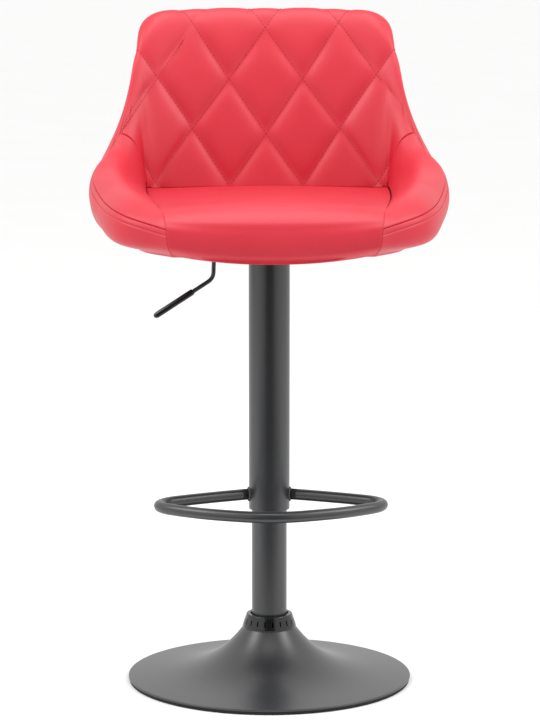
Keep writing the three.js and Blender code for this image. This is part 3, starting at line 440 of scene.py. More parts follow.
def tube_profile(node, edge):
    """The wall of an upright tube that fills a CAD node's box, its edges rounded."""
    low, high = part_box(node)
    outer, inner = high.x, high.x - TUBE_WALL
    return rounded([(inner, low.z), (outer, low.z), (outer, high.z), (inner, high.z)], edge)


standpipe = new_piece("standpipe_tube", [turned(tube_profile("standpipe", 0.0006), 128)], powder_coat)
fit(standpipe, "foot", "powder_coat", "standpipe")
sleeve_low, sleeve_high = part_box("sleeve")
sleeve_radius = sleeve_high.x
bore = sleeve_radius - TUBE_WALL
sleeve_profile = rounded(
    [
        (bore - ROLLED_IN, sleeve_low.z),
        (sleeve_radius, sleeve_low.z),
        (sleeve_radius, sleeve_high.z),
        (bore, sleeve_high.z),
        (bore, sleeve_low.z + TUBE_WALL),
        (bore - ROLLED_IN, sleeve_low.z + TUBE_WALL),
    ],
    [0.0004, 0.0034, 0.0006, 0.0006, 0.0004, 0.0004],
)
sleeve = new_piece("sleeve_tube", [turned(sleeve_profile, 144)], powder_coat)
fit(sleeve, "upper", "powder_coat", "sleeve")

# ---------- bushes, bearing and gas spring ----------
# Parts inside the column: nylon guide bush, rubber bumper, hardened races and rod, and the black
# painted pressure tube with its valve.
# Moulded nylon: waxy off-white, slightly translucent, so a little light is let under the skin.
nylon, tree, shader = new_finish("moulded nylon 6", Roughness=0.42, IOR=1.53, Subsurface_Weight=0.15)
shader.inputs["Subsurface Scale"].default_value = 0.002
cloud = grain(tree, 1 / 0.01, 2.0)
tint(tree, shader, cloud.outputs["Fac"], "#D6D2C6", "#E2DFD4")
roughen(tree, shader, cloud.outputs["Fac"], 0.00005)

# Ground and hardened steel: bright, with fine turning rings about a third of a millimetre apart.
ground_steel, tree, shader = new_finish("ground bearing steel", Metallic=1.0, Roughness=0.2)
place = add(tree, "TexCoord").outputs["Object"]
rings = add(tree, "TexWave", {"Vector": place, "Scale": 900.0, "Distortion": 0.4}, bands_direction="Z")
tint(tree, shader, rings.outputs["Fac"], "#BFC3C7", "#D3D6D8")
polish(tree, shader, rings.outputs["Fac"], 0.14, 0.26)

dress(nylon, "guide_bush")
dress(rubber, "bumper", "piston_seal")
dress(abs_plastic, "sleeve_bush", "pressure_tube")
dress(ground_steel, "piston_rod", "lower_race", "upper_race", "bearing_cage", "valve_button", "lever_pin")
dress(zinc, "end_plate", "retaining_clip", "rod_washer", "piston", "rod_guide", "valve_body", "sleeve_top_ring")

# ---------- footrest ----------
# One 16 mm steel tube bent to a loop in a level plane, its ends coped and MIG welded to the sleeve,
# then powder coated with it.
FOOTREST_TUBE = 0.008
FOOTREST_HALF_WIDTH = 0.156
FOOTREST_REACH = 0.166
# The left half of the loop: shares of the half width and of the reach, from the sleeve forwards.
FOOTREST_LINE = [
    (0.16, 0), (0.48, 0.13), (0.77, 0.265), (0.935, 0.365), (1, 0.48),
    (0.96, 0.585), (0.795, 0.717), (0.478, 0.88), (0, 1),
]
TUBE_SIDES = 32
WELD_RADIUS = 0.0024
WELD_RIPPLES = 26
WELD_POINTS = 104
footrest_z = sum(corner.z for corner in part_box("footrest")) / 2


def smooth_line(points, steps):
    """A centripetal Catmull-Rom curve: between two points a cubic whose end slopes come from their
    neighbours, each weighed by the square root of its distance."""
    p = np.concatenate([2 * points[:1] - points[1:2], points, 2 * points[-1:] - points[-2:-1]])
    gap = np.sqrt(np.linalg.norm(np.diff(p, axis=0), axis=1))[:, None]
    a, b, c, d = p[:-3], p[1:-2], p[2:-1], p[3:]
    before, here, after = gap[:-2], gap[1:-1], gap[2:]
    first = here * ((b - a) / before - (c - a) / (before + here) + (c - b) / here)
    last = here * ((c - b) / here - (d - b) / (here + after) + (d - c) / after)
    t = np.linspace(0, 1, steps, endpoint=False)[:, None, None]
    line = b + first * t + (3 * (c - b) - 2 * first - last) * t**2 + (2 * (b - c) + first + last) * t**3
    return np.concatenate([line.transpose(1, 0, 2).reshape(-1, 3), points[-1:]])


def travelled(points, axis=0):
    """How far each point is from the first one, measured point by point along an axis of the grid."""
    steps = np.linalg.norm(np.diff(points, axis=axis), axis=-1)
    return np.insert(np.cumsum(steps, axis=axis), 0, 0.0, axis=axis)


def even(line, step):
    """The same line with points an even step apart."""
    run = travelled(line)
    at = np.linspace(0, run[-1], max(int(run[-1] / step), 2) + 1)
    return np.stack([np.interp(at, run, line[:, k]) for k in range(3)], 1)


def swept(line, radius, sides, up, loop=False):
    """Circles of a radius carried along a line that keeps to the plane across `up`: each point is
    line + radius (up cos angle + side sin angle). Open ends are drawn to a point and closed."""
    if loop:
        tangent = np.roll(line, -1, 0) - np.roll(line, 1, 0)
    else:
        tangent = np.gradient(line, axis=0)
    tangent /= np.linalg.norm(tangent, axis=1, keepdims=True)
    up = np.broadcast_to(up, line.shape)
    side = np.cross(tangent, up)
    side /= np.linalg.norm(side, axis=1, keepdims=True)
    up = np.cross(side, tangent)
    radius = np.broadcast_to(radius, len(line))[:, None, None]
    angle = np.linspace(0, 2 * np.pi, sides, endpoint=False)[None, :, None]
    points = line[:, None] + radius * (up[:, None] * np.cos(angle) + side[:, None] * np.sin(angle))
    if not loop:
        first = np.broadcast_to(line[:1, None], points[:1].shape)
        last = np.broadcast_to(line[-1:, None], points[:1].shape)
        points = np.concatenate([first, points, last])
    return points.reshape(-1, 3), quads(len(points), sides, loop, True)


half = np.array([(x * FOOTREST_HALF_WIDTH, -y * FOOTREST_REACH, footrest_z) for x, y in FOOTREST_LINE])
loop_line = np.concatenate([half, half[-2::-1] * [-1, 1, 1]])
loop_line = even(smooth_line(loop_line, 24), 0.0035)
clear = np.hypot(loop_line[:, 0], loop_line[:, 1]) > sleeve_radius + 0.006
inner = loop_line[clear]


def cope_end(line, radius):
    """Slide a ring of the tube's outline along its axis until it meets a cylinder about Z."""
    direction = line[0] - line[1]
    direction /= np.linalg.norm(direction)
    side = np.cross(direction, [0, 0, 1.0])
    angle = np.linspace(0, 2 * np.pi, TUBE_SIDES, endpoint=False)[:, None]
    outline = line[0] + FOOTREST_TUBE * (np.cos(angle) * [0, 0, 1.0] + np.sin(angle) * side)
    along = outline[:, :2] @ direction[:2]
    square = along**2 - (outline[:, :2] ** 2).sum(1) + radius**2
    return outline + (-along - np.sqrt(square))[:, None] * direction


def coped_tube(line, radius):
    """The footrest's tube along its line, with both ends coped to the sleeve."""
    points, _ = swept(line, FOOTREST_TUBE, TUBE_SIDES, (0, 0, 1.0))
    rings = points.reshape(-1, TUBE_SIDES, 3)[1:-1]
    start, end = cope_end(line, radius), cope_end(line[::-1], radius)
    end = end[-np.arange(TUBE_SIDES) % TUBE_SIDES]
    caps = [np.broadcast_to(ring.mean(0), ring.shape) for ring in (start, end)]
    rings = np.concatenate([[caps[0]], [start], rings, [end], [caps[1]]])
    return rings.reshape(-1, 3), quads(len(rings), TUBE_SIDES, False, True)


def weld_bead(line):
    """A rippled fillet round the coped end: a small circle carried round the joint, its radius
    waving by a seventh."""
    ring = cope_end(line, sleeve_radius - 0.0003)
    ring = np.concatenate([ring, ring[:1]])
    at = np.arange(WELD_POINTS) / WELD_POINTS * TUBE_SIDES
    ring = np.stack([np.interp(at, np.arange(TUBE_SIDES + 1), ring[:, k]) for k in range(3)], 1)
    turn = np.linspace(0, 2 * np.pi, WELD_POINTS, endpoint=False)
    ripple = 1 + 0.14 * np.sin(WELD_RIPPLES * turn)
    return swept(ring, WELD_RADIUS * ripple, 12, ring * [1, 1, 0], True)


footrest = new_piece("footrest_loop", [coped_tube(inner, sleeve_radius - 0.0007)], powder_coat)
fit(footrest, "upper", "powder_coat", "footrest")
welds = new_piece("footrest_welds", [weld_bead(inner), weld_bead(inner[::-1])], powder_coat)
fit(welds, "upper", "powder_coat")

# ---------- mounting pan ----------
# A tray pressed from 2.5 mm steel with a flat flange, welded to the socket that the gas spring's
# taper wedges into. Four bolts hold it under the seat board.
PAN_SHEET = 0.0025
PAN_WALL = (0.0645, 0.0545)
PAN_CORNER = 0.012
FLANGE_CORNER = 0.010
LEVER_SLOT_HALF = 0.005
pan_low, pan_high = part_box("mount_pan")
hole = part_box("taper_socket")[1].x + 0.0003


def framed(outlines, steps):
    """Rounded rectangles joined into a shell: each row holds half width, half depth, corner radius
    and height, and its points are the corner centres plus the radius times (cos, sin) of an angle."""
    angle = np.concatenate([np.linspace(k, k + 1, steps) for k in range(4)]) * np.pi / 2
    quarter = np.repeat([(1, 1), (-1, 1), (-1, -1), (1, -1)], steps, 0)
    half_x, half_y, corner, height = outlines.T[:, :, None]
    x = quarter[:, 0] * (half_x - corner) + corner * np.cos(angle)
    y = quarter[:, 1] * (half_y - corner) + corner * np.sin(angle)
    points = np.stack([x, y, height + 0 * x], -1)
    return points.reshape(-1, 3), quads(len(outlines), points.shape[1], True, True)


wall_x, wall_y = PAN_WALL
edge_x, edge_y = pan_high.x, pan_high.y
under, floor_top = pan_high.z - PAN_SHEET, pan_low.z + PAN_SHEET
pan_outlines = rounded(
    [
        (hole, hole, hole, pan_low.z),
        (wall_x, wall_y, PAN_CORNER, pan_low.z),
        (wall_x, wall_y, PAN_CORNER, under),
        (edge_x, edge_y, FLANGE_CORNER, under),
        (edge_x, edge_y, FLANGE_CORNER, pan_high.z),
        (wall_x - PAN_SHEET, wall_y - PAN_SHEET, PAN_CORNER - PAN_SHEET, pan_high.z),
        (wall_x - PAN_SHEET, wall_y - PAN_SHEET, PAN_CORNER - PAN_SHEET, floor_top),
        (hole, hole, hole, floor_top),
    ],
    [0.0003, 0.0045, 0.003, 0.0008, 0.0008, 0.004, 0.003, 0.0003],
)
pan = new_piece("pressed_pan", [framed(pan_outlines, 9)], powder_coat)
lever_z = sum(corner.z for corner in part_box("lever_pin")) / 2
slot_low = (-wall_x - 0.01, -LEVER_SLOT_HALF, lever_z - 0.006)
slot_high = (-wall_x + 0.01, LEVER_SLOT_HALF, lever_z + 0.007)
cut_out(pan, [block(slot_low, slot_high)])
fit(pan, "upper", "powder_coat", "mount_pan")
dress(powder_coat, "taper_socket")
bolts = ["seat_bolt_", "bolt_washer_", "tee_nut_"]
dress(zinc, "lever_bracket", *[kind + str(number) for kind in bolts for number in range(1, 5)])

# ---------- lever ----------
# A bent 6 mm steel rod, powder coated, pinned in the pan: its tongue presses the gas valve when the
# hand lifts the moulded black grip outside.
LEVER_RADIUS = 0.003
LEVER_EYE = 0.0055
LEVER_EYE_HALF = 0.004
LEVER_TONGUE = 0.0033
EYE_BORE = 0.0023
BEND_OUT, BEND_LEAN, BEND_DOWN = 0.013, 0.0015, 0.042
ROD_TO_GRIP = 0.034
ROD_IN_GRIP = 0.058
GRIP_SLOPE = math.radians(33)
GRIP_RADIUS = 0.0045
GRIP_LENGTH = 0.066
pivot_x = sum(corner.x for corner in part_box("lever_pin")) / 2
bend_x = -wall_x - BEND_OUT
button_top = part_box("valve_button")[1].z
out = np.array([-math.cos(GRIP_SLOPE), 0, -math.sin(GRIP_SLOPE)])
lower_bend = np.array([bend_x - BEND_LEAN, 0, lever_z - BEND_DOWN])
grip_start = lower_bend + ROD_TO_GRIP * out
lever_line = rounded(
    [(pivot_x - 0.003, 0, lever_z), (bend_x, 0, lever_z), lower_bend, grip_start + ROD_IN_GRIP * out],
    [0, 0.0115, 0.009, 0],
    9,
    False,
)
rod = swept(even(lever_line, 0.0015), LEVER_RADIUS, 24, (0, 1.0, 0))


def across(points, x, z):
    """Turn a shell of revolution about Z so that it lies along Y, about the line at x and z."""
    return np.stack([points[:, 0] + x, points[:, 2], points[:, 1] + z], 1)


eye_corners = [(EYE_BORE, -1), (LEVER_EYE, -1), (LEVER_EYE, 1), (EYE_BORE, 1)]
eye_profile = rounded([(radius, side * LEVER_EYE_HALF) for radius, side in eye_corners], 0.0005)
eye_points, eye_faces = turned(eye_profile, 40)
tongue_low = button_top + 0.0004
tongue = block(
    (pivot_x + LEVER_EYE - 0.001, -LEVER_EYE_HALF + 0.0004, tongue_low),
    (0.006, LEVER_EYE_HALF - 0.0004, tongue_low + LEVER_TONGUE),
)
lever = new_piece("lever", [rod, (across(eye_points, pivot_x, lever_z), eye_faces), tongue], powder_coat)
lever.data.set_sharp_from_angle(angle=math.radians(50))
fit(lever, "lever", "powder_coat", "lever_rod")

# The grip's outline: distance along it and radius, a straight bar between two rounded ends.
GRIP_OUTLINE = [
    (0, 0.0034), (0.0004, 0.0039), (0.0012, 0.0043), (0.003, GRIP_RADIUS), (0.058, GRIP_RADIUS),
    (0.0605, 0.0044), (0.0628, 0.004), (0.0646, 0.0031), (0.0656, 0.0019), (GRIP_LENGTH, 0.0008),
]
run = np.linspace(0, GRIP_LENGTH, 90)
grip_radius = np.interp(run, *zip(*GRIP_OUTLINE))
grip_shell = swept(grip_start + run[:, None] * out, grip_radius, 32, (0, 1.0, 0))
grip = new_piece("lever_grip_moulding", [grip_shell], abs_plastic)
fit(grip, "lever", "black_plastic", "lever_grip")

# ---------- seat: hidden wood and the red cover's shape ----------
# A flat plywood board and a bent plywood shell carry the padding. Both stay hidden but for the
# board's underside.
# Rotary cut birch: pale, with long grain and thin darker latewood lines a few millimetres apart.
plywood, tree, shader = new_finish("birch plywood", Roughness=0.6, IOR=1.5)
place = add(tree, "TexCoord").outputs["Object"]
stretch = add(tree, "Mapping", {"Vector": place, "Scale": (12.0, 1.0, 12.0)})
figure = add(tree, "TexNoise", {"Vector": stretch.outputs["Vector"], "Scale": 18.0, "Detail": 4.0, "Distortion": 0.6})
tint(tree, shader, figure.outputs["Fac"], "#A87F52", "#DDBE8F")
roughen(tree, shader, figure.outputs["Fac"], 0.0001)
dress(plywood, "seat_board", "seat_shell")

# The wall round the seat as stations, from the middle of the back (0) to the front end of an arm
# (8), in millimetres above the board's underside. Each has eight section points: up the inside
# (0 to 3), over the crest (4) and down the outside to the hem (7).
STATIONS = [
    [[0, 128, 60], [0, 146, 154], [0, 170, 254], [0, 192, 309], [0, 212, 304], [0, 233, 214], [0, 232, 104],
     [0, 190, 0]],
    [[88, 124, 60], [92, 140, 154], [97, 163, 254], [99, 186, 309], [100, 206, 303], [106, 226, 214], [108, 224, 104],
     [92, 184, 0]],
    [[143, 113, 60], [153, 124, 149], [161, 145, 239], [159, 170, 299], [175, 189, 294], [173, 203, 214],
     [174, 198, 104], [152, 163, 0]],
    [[163, 104, 61], [173, 108, 124], [179, 123, 194], [187, 140, 244], [190, 155, 244], [193, 165, 170],
     [203, 160, 84], [178, 135, 1]],
    [[173, 94, 63], [178, 92, 102], [190, 88, 130], [207, 84, 142], [214, 84, 136], [241, 84, 96], [236, 82, 56],
     [200, 80, 2]],
    [[172, 30, 64], [182, 30, 82], [203, 28, 102], [231, 24, 104], [247, 22, 93], [253, 20, 64], [242, 18, 26],
     [205, 16, 3]],
    [[167, -60, 64], [178, -62, 77], [198, -66, 87], [219, -70, 84], [237, -72, 69], [244, -74, 49], [231, -72, 20],
     [195, -62, 3]],
    [[159, -140, 64], [164, -148, 72], [178, -158, 75], [193, -168, 69], [207, -177, 55], [212, -180, 37],
     [208, -173, 14], [175, -152, 2]],
    [[152, -188, 63], [149.5, -204, 60], [147.5, -217, 53], [146, -224, 46], [144, -229, 38], [143, -231, 24],
     [140.5, -228, 12], [136.5, -212, 2]],
]
SEAT_LINE = [
    [128, 62], [45, 70], [-55, 74], [-140, 76], [-192, 71], [-212, 62],
    [-226, 48], [-231, 37], [-234, 26], [-235, 13], [-232, 0], [-219, -10],
]
BACK_SEAM = 4
COVER_SEAM = 4
CREST_STATION = 3
HEM = 7
ARM_END = 8
REAR_SEAM = 3
CROWN = 2.2
board_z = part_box("seat_board")[0].z


def catmull(t, count):
    """For each value of t along a row of points: the first of its four neighbours in the row with
    one reflected point at each end, and the four Catmull-Rom weights."""
    i = np.clip(np.floor(t).astype(int), 0, count - 2)
    f = t - i
    weights = [-f + 2 * f**2 - f**3, 2 - 5 * f**2 + 3 * f**3, f + 4 * f**2 - 3 * f**3, -(f**2) + f**3]
    return i[..., None] + np.arange(4), 0.5 * np.stack(weights, -1)


def reflected(points):
    """The row with one more point at each end, as far beyond as its neighbour is before."""
    return np.concatenate([2 * points[:1] - points[1:2], points, 2 * points[-1:] - points[-2:-1]])


half_net = np.array(STATIONS) / 1000 + [0, 0, board_z]
net = reflected(np.concatenate([half_net[:0:-1] * [-1, 1, 1], half_net]))
net = reflected(net.transpose(1, 0, 2)).transpose(1, 0, 2)
seat_line = reflected(np.array(SEAT_LINE) / 1000 + [0, board_z])


def wall(u, v):
    """The wall's surface at station u (-8 to 8) and section point v: Catmull-Rom both ways."""
    u, v = np.broadcast_arrays(np.asarray(u, float), v)
    row, a = catmull(u + 8, 17)
    column, b = catmull(v, 8)
    return np.einsum("...abk,...a,...b->...k", net[row[..., :, None], column[..., None, :]], a, b)


def seat_top(a, c):
    """The seat panel at share a of its half width and point c of its centre line: a crown between
    the side seams, |a| to the power 2.2, whose rear edge is drawn to the back panel's foot."""
    a, c = np.broadcast_arrays(np.asarray(a, float), c)
    share = np.abs(a) ** CROWN

    def crowned(line, side):
        rest = (line[..., k] + (side[..., k + 1] - line[..., k]) * share for k in (0, 1))
        return np.stack([side[..., 0] * a, *rest], -1)

    row, weight = catmull(c, len(SEAT_LINE))
    line = np.einsum("...ak,...a->...k", seat_line[row], weight)
    point = crowned(line, wall(BACK_SEAM + np.minimum(c, 4), np.maximum(c - 4, 0)))
    start = crowned(np.broadcast_to(seat_line[1], line.shape), wall(np.full(a.shape, float(BACK_SEAM)), 0.0))
    foot = wall(BACK_SEAM * a, 0.0)
    return point + (np.maximum(1 - c, 0) ** 2)[..., None] * (foot - start)


# PU leatherette on knitted backing: cherry red, satin, with a fine pebble grain of a millimetre or
# two, drawn even all over though on the cover it packs tighter in the creases, and colour that hardly varies.
PEBBLE = 1 / 0.0014
leatherette, tree, shader = new_finish("red PU leatherette", IOR=1.5, Specular_IOR_Level=0.55)
place = add(tree, "TexCoord").outputs["Object"]
cells = add(tree, "TexVoronoi", {"Vector": place, "Scale": PEBBLE, "Randomness": 0.9}, feature="SMOOTH_F1")
mottle = grain(tree, 1 / 0.05, 3.0)
tint(tree, shader, mottle.outputs["Fac"], "#BA1528", "#C41E32")
polish(tree, shader, cells.outputs["Distance"], 0.4, 0.52)
roughen(tree, shader, cells.outputs["Distance"], 0.00012, 0.8)

# Bonded polyester sewing thread: darker red than the cover, matt, with a twist of half a millimetre.
thread, tree, shader = new_finish("dark red polyester thread", Roughness=0.6, IOR=1.5)
twist = grain(tree, 1 / 0.0005)
tint(tree, shader, twist.outputs["Fac"], "#8E1523", "#A81F30")
roughen(tree, shader, twist.outputs["Fac"], 0.0001)

RIM = 0.002
SEAM = 0.004
PAD_BACKING = 0.007


def edged(low, high, length, step):
    """Values from low to high for a span of that length: even steps inside, and near both ends the
    steps of a rolled rim, at R (1 - cosine) from the end."""
    rim = RIM * (1 - np.cos(np.linspace(0, np.pi / 2, 6)[:-1]))
    inside = np.linspace(RIM, length - RIM, max(int(length / step), 3))
    return low + (high - low) * np.concatenate([rim, inside, (length - rim)[::-1]]) / length


def unit_normals(points):
    """Unit normals of a grid of points, by central differences along its rows and columns."""
    across = np.cross(np.gradient(points, axis=0), np.gradient(points, axis=1))
    return across / np.maximum(np.linalg.norm(across, axis=-1, keepdims=True), 1e-12)


def edge_distance(points):
    """How far each grid point is from the nearest border, measured along its row and column."""
    nearest = np.full(points.shape[:2], np.inf)
    for axis in (0, 1):
        run = travelled(points, axis)
        total = run.take([-1], axis=axis)
        nearest = np.minimum(nearest, np.minimum(run, total - run))
    return nearest


def rolled(points, outward, relief=0.0):
    """The surface lowered by the relief, its rim turned down by R - sqrt(R^2 - (R - d)^2)."""
    short = np.clip(RIM - edge_distance(points), 0, RIM)
    drop = RIM - np.sqrt(RIM**2 - short**2)
    return points + outward * (relief - drop)[..., None]


def upholstered(name, outer, outward):
    """A closed pad: the outer grid, the same grid a backing's thickness below, and the strip that
    joins their borders."""
    rows, columns = outer.shape[:2]
    inner = outer - outward * PAD_BACKING
    face = quads(rows, columns)
    index = np.arange(rows * columns).reshape(rows, columns)
    border = np.concatenate([index[0], index[1:, -1], index[-1, -2::-1], index[-2:0:-1, 0]])
    after = np.roll(border, -1)
    total = rows * columns
    strip = np.stack([border, after, after + total, border + total], 1)
    points = np.concatenate([outer.reshape(-1, 3), inner.reshape(-1, 3)])
    item = new_piece(name, [(points, np.concatenate([face, face[:, ::-1] + total, strip]))], leatherette)
    return item


def stitched(lines, pitch, length, radius):
    """Stitches along lines: small spindles of thread laid end to end, each (points, normals) line
    cut at even pitches. A spindle's rings have radii (0, .8, 1, 1, .8, 0), and its ends dip."""
    shells = []
    for points, outward in lines:
        run = travelled(points)
        at = np.arange(pitch / 2, run[-1], pitch)
        if len(at) < 2:
            continue
        centre, ahead, behind, up = (
            np.stack([np.interp(where, run, values[:, k]) for k in range(3)], 1)
            for where, values in ((at, points), (at + 0.001, points), (at - 0.001, points), (at, outward))
        )
        tangent = ahead - behind
        tangent /= np.linalg.norm(tangent, axis=1, keepdims=True)
        side = np.cross(tangent, up)
        side /= np.linalg.norm(side, axis=1, keepdims=True)
        up = np.cross(side, tangent)
        along = np.array([-1, -0.85, -0.35, 0.35, 0.85, 1])[None, :, None, None]
        width = np.array([0, 0.8, 1, 1, 0.8, 0])[None, :, None, None] * radius
        angle = np.linspace(0, 2 * np.pi, 6, endpoint=False)[None, None, :, None]
        tangent, side, up, centre = (values[:, None, None] for values in (tangent, side, up, centre))
        rings = (
            centre + tangent * along * length / 2 + width * (side * np.cos(angle) + up * np.sin(angle))
            - up * radius * along**4
        )
        face = quads(6, 6, False, True)
        faces = (face[None] + 36 * np.arange(len(at))[:, None, None]).reshape(-1, 4)
        shells.append((rings.reshape(-1, 3), faces))
    return shells


# ---------- back panel ----------
# The quilted panel of the back: foam under leatherette, sewn through along two families of slanting
# lines that run over the crest, so that it stands in soft diamonds.
DIAMOND_WIDTH = 0.106
DIAMOND_HEIGHT = 0.078
TOP_ROW = 0.235
ROW_SAG = 0.008
STATION_RUN = 0.06
CREASE_DEPTH = 0.0056
CREASE_SPREAD = 0.0078
CREASE_ROUND = 0.0018
CREST_START, CREST_END = 0.185, 0.235
CREST_DEPTH = 0.36
FLANK_START, FLANK_END, FLANK_DEPTH = 0.115, 0.19, 0.35
SAG_AT, SAG_MOST = 0.104, 1.1
BACK_WIDTH, BACK_CLIMB, BACK_STEP = 0.335, 0.31, 0.0019
THREAD_RADIUS = 0.0006
STITCH_PITCH, STITCH_LENGTH = 0.0055, 0.0045
STITCH_FROM_EDGE = 0.004

u = edged(-BACK_SEAM + SEAM, BACK_SEAM - SEAM, BACK_WIDTH, BACK_STEP)
v = edged(SEAM, COVER_SEAM - SEAM, BACK_CLIMB, BACK_STEP)
u, v = np.meshgrid(u, v)
back = wall(u, v)
back_out = unit_normals(back)
back_out *= np.sign((back_out[..., 1] * np.where(v < CREST_STATION, -1, 1)).sum())


def quilt(points):
    """The two slanting counts (m + n, m - n) of the quilting at each grid point, whose whole values
    are the sewn lines: m counts diamonds across, n down, from the run up the panel. With them comes
    how deep the lines are drawn in, which falls smoothly over the tight crest and towards the
    flanks."""
    climb = travelled(points) + SEAM * STATION_RUN
    m = points[..., 0] / DIAMOND_WIDTH
    sag = ROW_SAG * np.minimum(np.abs(points[..., 0]) / SAG_AT, SAG_MOST) ** 2
    n = (TOP_ROW - climb + sag) / (2 * DIAMOND_HEIGHT)
    over = np.clip((climb - CREST_START) / (CREST_END - CREST_START), 0, 1)
    beside = np.clip((np.abs(points[..., 0]) - FLANK_START) / (FLANK_END - FLANK_START), 0, 1)
    drawn = 1 - (1 - CREST_DEPTH) * over**2 * (3 - 2 * over)
    return m + n, m - n, drawn * (1 - (1 - FLANK_DEPTH) * beside**2 * (3 - 2 * beside))


def crease(points, count):
    """Distance along the surface to the nearest line where the count is whole: its fraction over its
    slope, with the slope taken in the surface's own metric."""
    down, across = np.gradient(points, axis=0), np.gradient(points, axis=1)
    e, f, g = (down**2).sum(-1), (down * across).sum(-1), (across**2).sum(-1)
    rise, run = np.gradient(count)
    steep = g * rise**2 - 2 * f * rise * run + e * run**2
    slope = np.sqrt(np.maximum(steep, 0) / np.maximum(e * g - f**2, 1e-18))
    distance = np.abs(count - np.round(count)) / np.maximum(slope, 1e-6)
    return np.exp(-(np.sqrt(distance**2 + CREASE_ROUND**2) - CREASE_ROUND) / CREASE_SPREAD)


*counts, drawn = quilt(back)
near = [crease(back, count) for count in counts]
back_surface = rolled(back, back_out, -CREASE_DEPTH * drawn * (near[0] + near[1] - near[0] * near[1]))
back_panel = upholstered("back_panel_quilted", back_surface, back_out)
fit(back_panel, "upper", "red_leatherette", "back_pad")


def crossings(count, whole):
    """Where each row of the grid meets the line at that whole count, as a column with its fraction,
    and -1 where it does not."""
    gap = count - whole
    change = gap[:, :-1] * gap[:, 1:] <= 0
    column = np.argmax(change, axis=1)
    rows = np.arange(len(gap))
    share = gap[rows, column] / (gap[rows, column] - gap[rows, column + 1])
    return np.where(change.any(axis=1), column + np.nan_to_num(share), -1.0)


sewn = []
inside = edge_distance(back) > STITCH_FROM_EDGE
for count in counts:
    for whole in range(math.ceil(count.min()), math.floor(count.max()) + 1):
        at = crossings(count, whole)
        keep = at > 0
        rows, where = np.nonzero(keep)[0], at[keep]
        first = np.floor(where).astype(int)
        share = (where - first)[:, None]
        kept = inside[rows, first]
        pair = [
            grid[rows, first] * (1 - share) + grid[rows, first + 1] * share
            for grid in (back_surface, back_out)
        ]
        if kept.sum() > 8:
            sewn.append([values[kept] for values in pair])
stitches = stitched(sewn, STITCH_PITCH, STITCH_LENGTH, THREAD_RADIUS)
quilting = new_piece("back_quilting_thread", stitches, thread)
fit(quilting, "upper", "red_leatherette")

# ---------- arm panels ----------
# The padded inside of each wing, cut in one piece from the back seam over the arm's crest to the
# front, and sewn to the back, the seat and the outer cover.
ARM_LENGTH, ARM_GIRTH, ARM_STEP = 0.34, 0.125, 0.0022
for side, name in ((-1, "left"), (1, "right")):
    u = edged(BACK_SEAM + SEAM, ARM_END - SEAM, ARM_LENGTH, ARM_STEP)
    v = edged(SEAM, COVER_SEAM - SEAM, ARM_GIRTH, ARM_STEP)
    u, v = np.meshgrid(side * u, v)
    points = wall(u, v)
    outward = unit_normals(points) * -side
    panel = upholstered("arm_panel_" + name, rolled(points, outward), outward)
    fit(panel, "upper", "red_leatherette", "bolster_" + name)

# ---------- seat panel ----------
# The sat-on cushion: foam on the board under one piece of leatherette, crowned between the arm
# seams, and wrapped over the front edge to the board's underside.
SEAT_WIDTH, SEAT_RUN, SEAT_STEP = 0.31, 0.44, 0.0024
SEAT_START, SEAT_END = -0.1, 11.0
# The wrap under the board: steps inwards from the hem, and heights against the board's underside.
WRAP = np.array([(0.002, -0.0007), (0.005, -0.0009), (0.009, -0.0009), (0.013, -0.0009)])


def wrapped(points, toward, height):
    """The grid with more rows after its last: each steps further along `toward`, under the board, at
    a height just under it."""
    rows = [points[-1] + step * toward for step, _ in WRAP]
    for row, (_, drop) in zip(rows, WRAP):
        row[:, 2] = height + drop
    return np.concatenate([points, rows])


a = edged(-1.0, 1.0, SEAT_WIDTH, SEAT_STEP)
c = edged(SEAT_START, SEAT_END, SEAT_RUN, SEAT_STEP)
a, c = np.meshgrid(a, c)
seat = seat_top(a, c)
seat = wrapped(seat, np.array([0, 1.0, 0]), board_z)
seat_out = unit_normals(seat)
seat_out *= np.sign(seat_out[len(seat_out) // 3, len(a[0]) // 2, 2])
seat_panel = upholstered("seat_panel", rolled(seat, seat_out), seat_out)
fit(seat_panel, "upper", "red_leatherette", "seat_cushion")

# ---------- outer covers ----------
# Leatherette over thin foam outside the wings and the back: sewn to the inner panels just under the
# crest, top stitched there, joined at the rear corners, and stapled under the board.
TOPSTITCH_DOWN = 0.008
TOPSTITCH_PITCH, TOPSTITCH_LENGTH, TOPSTITCH_RADIUS = 0.0045, 0.0036, 0.00042
GROOVE_DEPTH, GROOVE_HALF_WIDTH = 0.0009, 0.0011
COVER_HEIGHT, COVER_STEP = 0.2, 0.0024
COVERS = [
    (-ARM_END, -REAR_SEAM, 0.4, "left"),
    (-REAR_SEAM, REAR_SEAM, 0.3, "back"),
    (REAR_SEAM, ARM_END, 0.4, "right"),
]
cover_stitches = []
for low, high, length, name in COVERS:
    u = edged(low + SEAM, high - SEAM, length, COVER_STEP)
    v = edged(COVER_SEAM + SEAM, HEM, COVER_HEIGHT, COVER_STEP)
    u, v = np.meshgrid(u, v)
    points = wall(u, v)
    hem = points[-1] * [1, 1, 0]
    points = wrapped(points, -hem / np.linalg.norm(hem, axis=1, keepdims=True), board_z)
    outward = unit_normals(points)
    outward *= np.sign((outward * (points - [0, 0, points[..., 2].mean()])).sum())
    below = travelled(points)
    groove = -GROOVE_DEPTH * np.exp(-(((below - TOPSTITCH_DOWN) / GROOVE_HALF_WIDTH) ** 2))
    surface = rolled(points, outward, groove)
    cover = upholstered("outer_panel_" + name, surface, outward)
    fit(cover, "upper", "red_leatherette", "outer_cover_" + name)
    row = np.argmax(below > TOPSTITCH_DOWN, axis=0)
    column = np.arange(len(row))
    cover_stitches.append((surface[row, column][3:-3], outward[row, column][3:-3]))
